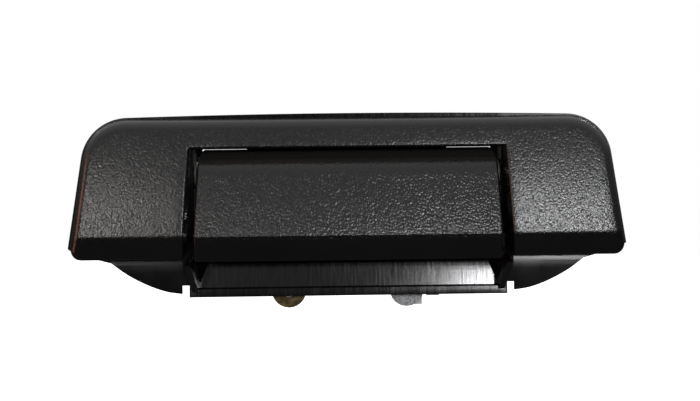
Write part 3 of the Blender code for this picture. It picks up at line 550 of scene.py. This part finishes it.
def paddle_profile():
    """Side profile of the flap: rolled top, slightly crowned face, tucked-in band and rear."""
    top = smooth_path(paddle_roll(0.0)[:-1] + SHOULDER_CURVE, 4)
    shoulder, crease = Vector(PADDLE_SHOULDER), Vector((CREASE_Y, CREASE_Z))
    crown = Vector((-PADDLE_CROWN, 0.0))
    down = [shoulder.lerp(crease, t) + crown * math.sin(math.pi * t) for t in (0.45, 0.6, 0.75, 0.88)]
    bottom = Vector((PADDLE_BOTTOM_Y, PADDLE_BOTTOM_Z))
    rear = [Vector(p) for p in PADDLE_REAR]
    path = top + down + [crease, bottom] + rear
    return filleted(path, [0] * (len(top) + len(down)) + PADDLE_ROUNDING)


def inset_profile(profile, inset):
    """The closed YZ profile moved inwards by a small distance."""
    count = len(profile)
    moved = []
    for i, p in enumerate(profile):
        along = (profile[(i + 1) % count] - profile[i - 1]).normalized()
        moved.append(p + Vector((-along.y, along.x)) * inset)
    return moved


def build_paddle(finish):
    """Pull flap: a skin with rounded ends, hollow behind, with screw bosses and the pin's bore."""
    profile = paddle_profile()
    crown_z = max(p.y for p in profile)
    top_to_bottom = PADDLE_SHOULDER[1] - PADDLE_BOTTOM_Z

    def half_width(p):
        share = (PADDLE_SHOULDER[1] - p.y) / top_to_bottom
        half = PADDLE_HALF_TOP + (PADDLE_HALF_BOTTOM - PADDLE_HALF_TOP) * share
        near_top = max(0.0, 1 - (crown_z - p.y) / CORNER_DOWN)
        return half - CORNER_IN * (1 - math.sqrt(1 - near_top ** 2))

    ends = []
    for angle in range(90, -1, -15):
        a = math.radians(angle)
        moved = inset_profile(profile, PADDLE_EDGE * (1 - math.sin(a)))
        step_in = PADDLE_EDGE * (1 - math.cos(a))
        ends.append([(half_width(q) - step_in, p) for p, q in zip(moved, profile)])
    ends.reverse()
    right = [[(x, p.x, p.y) for x, p in ring] for ring in ends]
    left = [[(-x, y, z) for x, y, z in ring] for ring in reversed(right)]
    made = bmesh.new()
    rings = skin_rings(made, right + left)
    for ring in (rings[0], rings[-1]):
        made.faces.new(ring)
    inner = paddle_roll(PADDLE_SKIN) + [paddle_point(0.4, PADDLE_SKIN), paddle_point(30.4, PADDLE_SKIN)]
    inner += [(-16.3, -53.6), (20, -53.6), (20, inner[0][1])]
    half = PADDLE_HALF_TOP - PADDLE_SKIN
    made = cut(made, prism(inner, "YZ", -half, half))
    for x in PADDLE_SCREWS:
        depths = (1.0, LEVER_NEAR - 0.3, 1.6, 9)
        spots = [(x, *paddle_point(PADDLE_SCREW_DOWN, behind)) for behind in depths]
        boss, pilot = rod(BOSS_RADIUS, spots[0], spots[1]), rod(PILOT_RADIUS, spots[2], spots[3])
        made = cut(union(made, boss), pilot)
    made = cut(made, rod(PIN_RADIUS + 0.2, (-80, HINGE_Y, HINGE_Z), (80, HINGE_Y, HINGE_Z)))
    return add_piece(made, "paddle_shell", "flap", finish, "grained_black_plastic", "paddle")


# ---------------------------------------------------------------- housing
# Cutters start or end well clear of the wall they pierce.


def pocket_profile(wall, front):
    """Side profile of the finger pocket, grown by a wall thickness."""
    path = [Vector(p) for p in SCOOP]
    grown = []
    for i, point in enumerate(path):
        along = (path[min(i + 1, len(path) - 1)] - path[max(i - 1, 0)]).normalized()
        grown.append(point + Vector((-along.y, along.x)) * wall)
    scoop = rounded_path(grown, 4)
    roof = [(front, POCKET_TOP + wall), (POCKET_BACK + wall, POCKET_TOP + wall)]
    return roof + scoop + [(front, scoop[-1][1])]


def flange_outline():
    """Outline of the seat flange: crowned top, leaning sides and the curved aprons under the wings."""
    slope = math.degrees(math.atan(LEAN))
    radius = BASE["round_top"] + 1
    x_top = FLANGE_HALF - LEAN * (FLANGE_TOP - radius) - radius * math.sqrt(1 + LEAN * LEAN)
    across = np.linspace(0, x_top, 24)[:-1]
    crown = [(x, FLANGE_TOP + FLANGE_CROWN * (1 - (x / x_top) ** 2)) for x in across]
    corner = arc((x_top, FLANGE_TOP - radius), radius, 90, slope, 24)
    low_x = FLANGE_HALF - LEAN * FLANGE_CORNER_Z
    tail = [(low_x, FLANGE_CORNER_Z), (low_x - 3, FLANGE_CORNER_Z - 2.2)]
    apron = [(p.x, p.y) for p in smooth_path(APRON_CURVE, 8)]
    return mirrored(crown + corner + tail + apron + [(APRON_INNER, NOTCH_TOP), (0, NOTCH_TOP)])


def post(radius, x, z, front, back, steps=40):
    """A round bar along Y."""
    return rod(radius, (x, front, z), (x, back, z), steps)


def side_block(side, near, far, low, high):
    """A block from x = near to far on one side; low and high are its (y, z) corners."""
    inner, outer = sorted((side * near, side * far))
    return block((inner, *low), (outer, *high))


def on_side(side, points):
    """Right-hand points, or their mirror image when side is -1."""
    return [(side * x, y, z) for x, y, z in points]


def lip_profile():
    """Side profile of the lip, whose front leans back a little; its edges are rounded."""
    path = [(LIP_FRONT, LIP_BOTTOM), (LIP_FRONT + LIP_LEAN, LIP_TOP - 0.8),
            (LIP_FRONT + LIP_LEAN + 0.1, LIP_TOP + 1.0), (LIP_BACK, LIP_TOP + 1.0), (LIP_BACK, LIP_BOTTOM)]
    rounded = filleted([Vector(p) for p in path], LIP_ROUNDING)
    return [tuple(p) for p in rounded]


def housing_body():
    """Flange, pocket shell and lip, with gussets, screw seats and pads."""
    outer_half = POCKET_HALF + POCKET_WALL
    made = prism(flange_outline(), "XZ", FLANGE_FRONT, FLANGE_BACK)
    shell = prism(pocket_profile(POCKET_WALL, FLANGE_FRONT), "YZ", -outer_half, outer_half)
    made = union(made, shell, prism(lip_profile(), "YZ", -LIP_HALF, LIP_HALF))
    for side in (1, -1):
        made = union(made, hull(on_side(side, GUSSET)))
        for x, z in BEZEL_SCREWS:
            made = union(made, post(SEAT_RADIUS, side * x, z, FLANGE_FRONT - SEAT_DEPTH, FLANGE_BACK - 0.1))
        for x, z in PLATE_SCREWS + [(PIVOT_X, PIVOT_Z)]:
            made = union(made, post(PAD_RADIUS, side * x, z, POCKET_BACK + 1, PAD_BACK))
    return made


def open_pocket(made):
    """Cuts the finger pocket, its wider mouth and the groove behind the lip's front edge."""
    floor_half = POCKET_HALF - 1.0
    hollow = pocket_profile(0.0, -30)
    mouth = hollow[:-2] + [(-3.0, -60.0), (-30, -60.0)]
    groove = block((-floor_half, GROOVE_FRONT, GROOVE_BOTTOM), (floor_half, GROOVE_BACK, LIP_TOP))
    return cut(made, prism(hollow, "YZ", -floor_half, floor_half),
               prism(mouth, "YZ", -POCKET_HALF, POCKET_HALF), groove)


def finish_side(made, side):
    """One side's apron, lever slot, bump stop ledge, cheek and holes."""
    low, high = sorted((side * (APRON_INNER - 0.5), side * 119))
    roll = prism(APRON_ROLL + [(-9.0, -55.0), (-9.0, -62.5)], "YZ", low, high)
    slot = side_block(side, SLOT_INNER, SLOT_OUTER,
                      (POCKET_BACK - 1, SLOT_BOTTOM), (PAD_BACK + 5, SLOT_TOP))
    line = side_block(side, APRON_LINE_X - 0.2, APRON_LINE_X + 0.2,
                      (-5, -75), (FLANGE_FRONT + 0.25, -61))
    made = cut(made, roll, slot, line)
    ledge = side_block(side, BUMPER_X - 4, POCKET_HALF + 0.5,
                       (LEDGE_FRONT, BUMPER_Z - 3), (2.0, BUMPER_Z + 3))
    made = union(made, ledge, hull(on_side(side, CHEEK)))
    made = cut(made, rod(BUSH_HOLE, (side * 60, HINGE_Y, HINGE_Z), (side * 75, HINGE_Y, HINGE_Z)),
               post(STUD_RADIUS + 0.3, side * STUD_X, STUD_Z, -9, 3),
               post(BUMPER_HOLE, side * BUMPER_X, BUMPER_Z, -13, -5))
    for x, z in BEZEL_SCREWS:
        made = cut(made, post(SEAT_RECESS, side * x, z, FLANGE_BACK - SEAT_DEPTH, 2),
                   post(SEAT_HOLE, side * x, z, -9, 2))
    holes = [PLATE_SCREW_HOLE, PLATE_SCREW_HOLE, PIVOT_HOLE]
    for (x, z), hole in zip(PLATE_SCREWS + [(PIVOT_X, PIVOT_Z)], holes):
        made = cut(made, post(hole, side * x, z, POCKET_BACK + 1.2, PAD_BACK + 1))
    return made


def build_housing(finish):
    """Seat flange with rolled aprons, finger pocket with its scoop, grooved lip, screw seats and pads."""
    made = open_pocket(housing_body())
    for side in (1, -1):
        made = finish_side(made, side)
    return add_piece(made, "housing_shell", "root", finish, "smooth_black_plastic", "housing")


# ---------------------------------------------------------------- materials


class Shader:
    """A Principled material under construction, with short calls for the nodes it needs."""

    def __init__(self, name):
        self.material = bpy.data.materials.new(name)
        self.material.use_nodes = True
        self.tree = self.material.node_tree
        self.surface = self.tree.nodes["Principled BSDF"]
        self.place = self.node("ShaderNodeTexCoord").outputs["Object"]

    def node(self, kind, **settings):
        made = self.tree.nodes.new(kind)
        for key, value in settings.items():
            setattr(made, key, value)
        return made

    def link(self, source, target):
        self.tree.links.new(source, target)
        return self

    def stretched(self, scale):
        mapping = self.node("ShaderNodeMapping")
        mapping.inputs["Scale"].default_value = scale
        self.link(self.place, mapping.inputs["Vector"])
        return mapping.outputs["Vector"]

    def noise(self, size, detail=2.0, roughness=0.5, stretch=None, distortion=0.0):
        """Noise whose blobs are about size millimetres."""
        made = self.node("ShaderNodeTexNoise")
        made.inputs["Scale"].default_value = 1000.0 / size
        made.inputs["Detail"].default_value = detail
        made.inputs["Roughness"].default_value = roughness
        made.inputs["Distortion"].default_value = distortion
        self.link(self.stretched(stretch) if stretch else self.place, made.inputs["Vector"])
        return made.outputs["Fac"]

    def cells(self, size, feature="F1", randomness=1.0):
        made = self.node("ShaderNodeTexVoronoi", feature=feature)
        made.inputs["Scale"].default_value = 1000.0 / size
        made.inputs["Randomness"].default_value = randomness
        self.link(self.place, made.inputs["Vector"])
        return made.outputs["Distance"]

    def product(self, first, second):
        made = self.node("ShaderNodeMath", operation="MULTIPLY")
        self.link(first, made.inputs[0]).link(second, made.inputs[1])
        return made.outputs[0]

    def between(self, low, high, axis="Z", soft_low=0.5, soft_high=1.5):
        """1 between two places along an axis in millimetres, fading to 0 beyond them."""
        split = self.node("ShaderNodeSeparateXYZ")
        self.link(self.place, split.inputs[0])
        spot = split.outputs[axis]
        fades = [self.remap(spot, 0.0, 1.0, (low - soft_low) * MM, (low + soft_low) * MM),
                 self.remap(spot, 1.0, 0.0, (high - soft_high) * MM, (high + soft_high) * MM)]
        return self.product(*fades)

    def remap(self, source, low, high, start=0.0, end=1.0):
        made = self.node("ShaderNodeMapRange")
        for name, value in (("From Min", start), ("From Max", end), ("To Min", low), ("To Max", high)):
            made.inputs[name].default_value = value
        self.link(source, made.inputs["Value"])
        return made.outputs["Result"]

    def ramp(self, source, *stops):
        made = self.node("ShaderNodeValToRGB")
        stones = made.color_ramp.elements
        while len(stones) < len(stops):
            stones.new(0.5)
        for stone, (position, colour) in zip(stones, stops):
            stone.position = position
            stone.color = (*colour, 1.0)
        self.link(source, made.inputs["Fac"])
        return made.outputs["Color"]

    def blend(self, share, first, second):
        """Numbers or sockets mixed by share."""
        made = self.node("ShaderNodeMath", operation="MULTIPLY_ADD")
        gap = self.node("ShaderNodeMath", operation="SUBTRACT")
        for socket, value in ((gap.inputs[0], second), (gap.inputs[1], first), (made.inputs[2], first)):
            if isinstance(value, float):
                socket.default_value = value
            else:
                self.link(value, socket)
        self.link(share, made.inputs[0])
        self.link(gap.outputs[0], made.inputs[1])
        return made.outputs[0]

    def mixed(self, share, ground, colour):
        """The ground colour with a share of another laid over it."""
        made = self.node("ShaderNodeMix", data_type="RGBA")
        self.link(share, made.inputs["Factor"]).link(ground, made.inputs[6])
        made.inputs[7].default_value = (*colour, 1.0)
        return made.outputs[2]

    def colour(self, value):
        if isinstance(value, tuple):
            self.surface.inputs["Base Color"].default_value = (*value, 1.0)
        else:
            self.link(value, self.surface.inputs["Base Color"])
        return self

    def roughness(self, value):
        if isinstance(value, float):
            self.surface.inputs["Roughness"].default_value = value
        else:
            self.link(value, self.surface.inputs["Roughness"])
        return self

    def bump(self, *layers):
        """Stacked bumps: (height socket, depth in millimetres, strength)."""
        normal = None
        for height, depth, strength in layers:
            made = self.node("ShaderNodeBump")
            made.inputs["Distance"].default_value = depth * MM
            made.inputs["Strength"].default_value = strength
            self.link(height, made.inputs["Height"])
            if normal:
                self.link(normal, made.inputs["Normal"])
            normal = made.outputs["Normal"]
        self.link(normal, self.surface.inputs["Normal"])
        return self

    def set(self, **values):
        for name, value in values.items():
            self.surface.inputs[name.replace("_", " ")].default_value = value
        return self


def grained_plastic(name, low, high, pebble, depth, painted_light=0.0):
    """Black moulded plastic, pebbled between two heights, with a lighter colour painted on the smooth roll
    above them as painted light from above.
    """
    s = Shader(name)
    grain = s.between(low, high)
    domes = s.cells(pebble)
    # Painted light: the smooth roll above the grain takes a lighter colour where light from above would
    # fall.
    painted_light_specks = s.remap(s.noise(2.4, 4.0), 0.7 * painted_light, painted_light, 0.3, 0.7)
    painted_light_mask = s.product(s.between(high, ABOVE_ALL, "Z", 2.0, 2.0), painted_light_specks)
    black = s.ramp(s.noise(28.0, 3.0), (0.3, (0.0026, 0.0025, 0.0025)), (0.7, (0.0038, 0.0036, 0.0036)))
    s.colour(s.mixed(painted_light_mask, black, PAINTED_LIGHT_COLOUR))
    s.roughness(s.blend(grain, 0.26, s.remap(s.noise(1.4, 2.0), 0.2, 0.29, 0.35, 0.65)))
    s.bump((s.product(s.product(domes, domes), grain), -depth, 1.0),
           (s.product(s.noise(0.4, 1.0), grain), 0.02, 1.0),
           (s.noise(9.0, 3.0), 0.04, 0.5))
    s.set(IOR=1.5)
    return s.material


def smooth_plastic():
    """Smooth black moulding: drag streaks in the finger pocket, a duller skin on the aprons."""
    s = Shader("smooth_black_plastic")
    pocket = s.between(-POCKET_HALF, POCKET_HALF, "X", 1.0, 1.0)
    streaks = s.noise(0.9, 4.0, 0.6, stretch=(1.0, 0.08, 0.08))
    s.colour(s.ramp(s.noise(18.0, 3.0), (0.3, (0.0020, 0.0020, 0.0021)), (0.7, (0.0032, 0.0032, 0.0033))))
    s.roughness(s.blend(pocket, s.remap(s.noise(11.0, 3.0), 0.2, 0.25, 0.35, 0.65),
                        s.remap(streaks, 0.12, 0.2, 0.35, 0.7)))
    s.bump((s.product(streaks, pocket), 0.03, 0.5), (s.noise(1.2, 2.0), 0.004, 0.4))
    s.set(IOR=1.5)
    return s.material


def foam_rubber():
    """Dull closed-cell foam."""
    s = Shader("black_foam_rubber")
    s.colour(s.ramp(s.noise(3.0, 3.0), (0.3, (0.014, 0.014, 0.0145)), (0.7, (0.026, 0.026, 0.027))))
    s.roughness(s.remap(s.noise(1.0), 0.82, 0.98))
    s.bump((s.cells(0.6), 0.2, 0.7))
    return s.material


def moulded_rubber():
    """Matt black rubber."""
    s = Shader("black_rubber")
    s.colour(s.ramp(s.noise(2.0, 3.0), (0.3, (0.016, 0.016, 0.016)), (0.7, (0.03, 0.03, 0.03))))
    s.roughness(s.remap(s.noise(0.8), 0.6, 0.8))
    s.bump((s.noise(0.5, 3.0), 0.05, 0.5))
    return s.material


def coated_steel():
    """Black electro-coated pressed steel, rubbed a little brighter in places."""
    s = Shader("black_coated_steel")
    rubbed = s.noise(9.0, 5.0, 0.6)
    s.colour(s.ramp(rubbed, (0.45, (0.018, 0.018, 0.019)), (0.72, (0.05, 0.05, 0.052))))
    s.roughness(s.remap(rubbed, 0.5, 0.34, 0.4, 0.75))
    s.bump((s.noise(0.7, 3.0), 0.03, 0.5))
    s.set(Metallic=0.35, IOR=1.6)
    return s.material


def yellow_zinc():
    """Zinc plate with an uneven golden passivate, its colours darkened overall as painted shade."""
    s = Shader("yellow_zinc_steel")
    patch = s.noise(5.0, 4.0, 0.6, distortion=0.6)
    # Painted shade: the passivate colours are kept dark to stand in for shade.
    s.colour(s.ramp(patch, (0.25, (0.10, 0.07, 0.035)), (0.48, (0.19, 0.14, 0.07)),
                    (0.62, (0.24, 0.19, 0.11)), (0.8, (0.16, 0.14, 0.10))))
    s.roughness(s.remap(s.noise(1.0, 4.0, stretch=(0.3, 1.0, 1.0)), 0.26, 0.46, 0.3, 0.7))
    s.bump((s.noise(0.6, 3.0, stretch=(0.2, 1.0, 1.0)), 0.02, 0.5))
    s.set(Metallic=1.0)
    return s.material


def bright_zinc():
    """Clear zinc plate, patchy as plated pressings are."""
    s = Shader("bright_zinc_steel")
    patch = s.noise(3.5, 4.0, 0.6)
    s.colour(s.ramp(patch, (0.3, (0.5, 0.51, 0.53)), (0.7, (0.68, 0.69, 0.7))))
    s.roughness(s.remap(s.noise(0.9, 4.0), 0.22, 0.42, 0.3, 0.7))
    s.bump((s.noise(0.5, 3.0), 0.015, 0.5))
    s.set(Metallic=1.0)
    return s.material


def spring_steel():
    """Drawn steel wire, a little brown."""
    s = Shader("spring_steel")
    s.colour(s.ramp(s.noise(1.5, 4.0), (0.3, (0.2, 0.19, 0.18)), (0.7, (0.36, 0.34, 0.32))))
    s.roughness(s.remap(s.noise(0.5, 3.0), 0.28, 0.45, 0.3, 0.7))
    s.bump((s.noise(0.4, 2.0), 0.01, 0.5))
    s.set(Metallic=1.0)
    return s.material


def natural_nylon():
    """Uncoloured nylon, slightly translucent."""
    s = Shader("natural_nylon")
    s.colour(s.ramp(s.noise(6.0, 3.0), (0.3, (0.70, 0.68, 0.62)), (0.7, (0.80, 0.79, 0.75))))
    s.roughness(s.remap(s.noise(1.2, 3.0), 0.38, 0.55, 0.3, 0.7))
    s.bump((s.noise(0.6, 3.0), 0.02, 0.4))
    s.set(Subsurface_Weight=0.15, Subsurface_Scale=0.001)
    return s.material


# ---------------------------------------------------------------- studio


def build_world():
    """White for the camera; a dim room, lighter above than below, for the surfaces."""
    world = bpy.data.worlds.new("studio")
    bpy.context.scene.world = world
    world.use_nodes = True
    tree = world.node_tree
    room = tree.nodes["Background"]
    out = tree.nodes["World Output"]
    place = tree.nodes.new("ShaderNodeTexCoord")
    parts = tree.nodes.new("ShaderNodeSeparateXYZ")
    ramp = tree.nodes.new("ShaderNodeValToRGB")
    spread = tree.nodes.new("ShaderNodeMapRange")
    tree.links.new(place.outputs["Generated"], parts.inputs[0])
    tree.links.new(parts.outputs["Z"], spread.inputs["Value"])
    spread.inputs["From Min"].default_value = -1.0
    tree.links.new(spread.outputs["Result"], ramp.inputs["Fac"])
    stops = [(0.0, 0.08), (0.3, 0.05), (0.46, 0.025), (0.56, 0.1), (0.72, 0.48), (0.92, 0.85), (1.0, 1.0)]
    stones = ramp.color_ramp.elements
    while len(stones) < len(stops):
        stones.new(0.5)
    for stone, (position, level) in zip(stones, stops):
        stone.position = position
        stone.color = (level, level, level, 1.0)
    tree.links.new(ramp.outputs["Color"], room.inputs["Color"])
    seen = tree.nodes.new("ShaderNodeBackground")
    path = tree.nodes.new("ShaderNodeLightPath")
    pick = tree.nodes.new("ShaderNodeMixShader")
    tree.links.new(path.outputs["Is Camera Ray"], pick.inputs["Fac"])
    tree.links.new(room.outputs[0], pick.inputs[1])
    tree.links.new(seen.outputs[0], pick.inputs[2])
    seen.inputs["Color"].default_value = (1.0, 1.0, 1.0, 1.0)
    tree.links.new(pick.outputs[0], out.inputs["Surface"])


def add_light(name, place, target, width, height, power, colour):
    """A soft rectangular lamp at a place, facing a target."""
    lamp = bpy.data.lights.new(name, "AREA")
    lamp.shape = "RECTANGLE"
    lamp.size, lamp.size_y = width * MM, height * MM
    lamp.energy = power
    lamp.color = colour
    obj = bpy.data.objects.new(name, lamp)
    obj.location = Vector(place) * MM
    obj.rotation_euler = (Vector(target) - Vector(place)).to_track_quat("-Z", "Y").to_euler()
    bpy.context.scene.collection.objects.link(obj)
    return obj


def build_floor():
    """A plain pale floor well below the handle."""
    made = bmesh.new()
    place = Matrix.Translation((0, 0, FLOOR_Z))
    bmesh.ops.create_circle(made, cap_ends=True, segments=96, radius=FLOOR_RADIUS, matrix=place)
    mesh = bpy.data.meshes.new("floor")
    made.to_mesh(mesh)
    made.free()
    mesh.transform(Matrix.Scale(MM, 4))
    s = Shader("pale_floor")
    s.colour(s.ramp(s.noise(900.0, 2.0), (0.3, (0.9, 0.9, 0.9)), (0.7, (0.94, 0.94, 0.94))))
    s.roughness(0.9)
    s.set(Emission_Color=(1.0, 1.0, 1.0, 1.0), Emission_Strength=0.9)
    mesh.materials.append(s.material)
    floor = bpy.data.objects.new("floor", mesh)
    bpy.context.scene.collection.objects.link(floor)
    floor.visible_glossy = floor.visible_diffuse = False


def build_camera():
    """The camera, placed by its distance and angles round the point it looks at."""
    turn, rise, roll = (math.radians(a) for a in (CAMERA_LEFT, CAMERA_ABOVE, CAMERA_ROLL))
    back = Vector((-math.sin(turn) * math.cos(rise), -math.cos(turn) * math.cos(rise), math.sin(rise)))
    right = Vector((math.cos(turn), -math.sin(turn), 0))
    up = back.cross(right)
    right, up = right * math.cos(roll) - up * math.sin(roll), right * math.sin(roll) + up * math.cos(roll)
    camera = bpy.data.cameras.new("camera")
    camera.lens = LENS
    camera.clip_start = 0.01
    obj = bpy.data.objects.new("camera", camera)
    place = (Vector(CAMERA_AIM) + back * CAMERA_DISTANCE) * MM
    obj.matrix_world = Matrix.Translation(place) @ Matrix((right, up, back)).transposed().to_4x4()
    bpy.context.scene.collection.objects.link(obj)
    bpy.context.scene.camera = obj


# ---------------------------------------------------------------- assembly


def main():
    """Finishes every node, replaces the three moulded pieces and sets up the picture."""
    bpy.context.scene.view_settings.view_transform = "Standard"
    finishes = {
        "grained_black_plastic": grained_plastic("grained_black_plastic", CREASE_Z - 3.0, ABOVE_ALL,
                                                 BEZEL_PEBBLE, BEZEL_GRAIN),
        "smooth_black_plastic": smooth_plastic(),
        "black_foam_rubber": foam_rubber(),
        "black_rubber": moulded_rubber(),
        "black_coated_steel": coated_steel(),
        "yellow_zinc_steel": yellow_zinc(),
        "bright_zinc_steel": bright_zinc(),
        "spring_steel": spring_steel(),
        "natural_nylon": natural_nylon(),
    }
    slots = {entry["node"]: entry["material_slot"] for entry in frame["record"]["subparts"]}
    for node, obj in frame["nodes"].items():
        obj.data.materials.clear()
        obj.data.materials.append(finishes[slots[node]])
    build_bezel(finishes["grained_black_plastic"])
    build_paddle(grained_plastic("grained_flap_plastic", CREASE_Z - 1.5, PADDLE_SHOULDER[1] + 0.5,
                                 FLAP_PEBBLE, FLAP_GRAIN, FLAP_PAINTED_LIGHT))
    soften(build_housing(finishes["smooth_black_plastic"]), HOUSING_ROUNDING)
    smoothing = smooth_by_angle()
    for node, obj in frame["nodes"].items():
        if node not in ("bezel", "paddle", "housing"):
            if node != "return_spring":
                soften(obj, EDGE_ROUNDING)
            obj.modifiers.new("shading", "NODES").node_group = smoothing
    build_world()
    add_light("key", (370, -1330, 200), (60, 0, -40), 260, 80, 6.0, (0.98, 0.985, 1.0))
    add_light("left_fill", (-560, -1310, 240), (-60, 0, -40), 200, 120, 3.2, (1.0, 0.96, 0.93))
    add_light("warm_side", (-420, -120, -10), (-60, 0, -30), 160, 260, 0.4, (1.0, 0.42, 0.3))
    add_light("rear_fill", (420, 1250, 260), (0, 15, -30), 400, 260, 9.0, (0.97, 0.98, 1.0))
    build_floor()
    build_camera()


main()
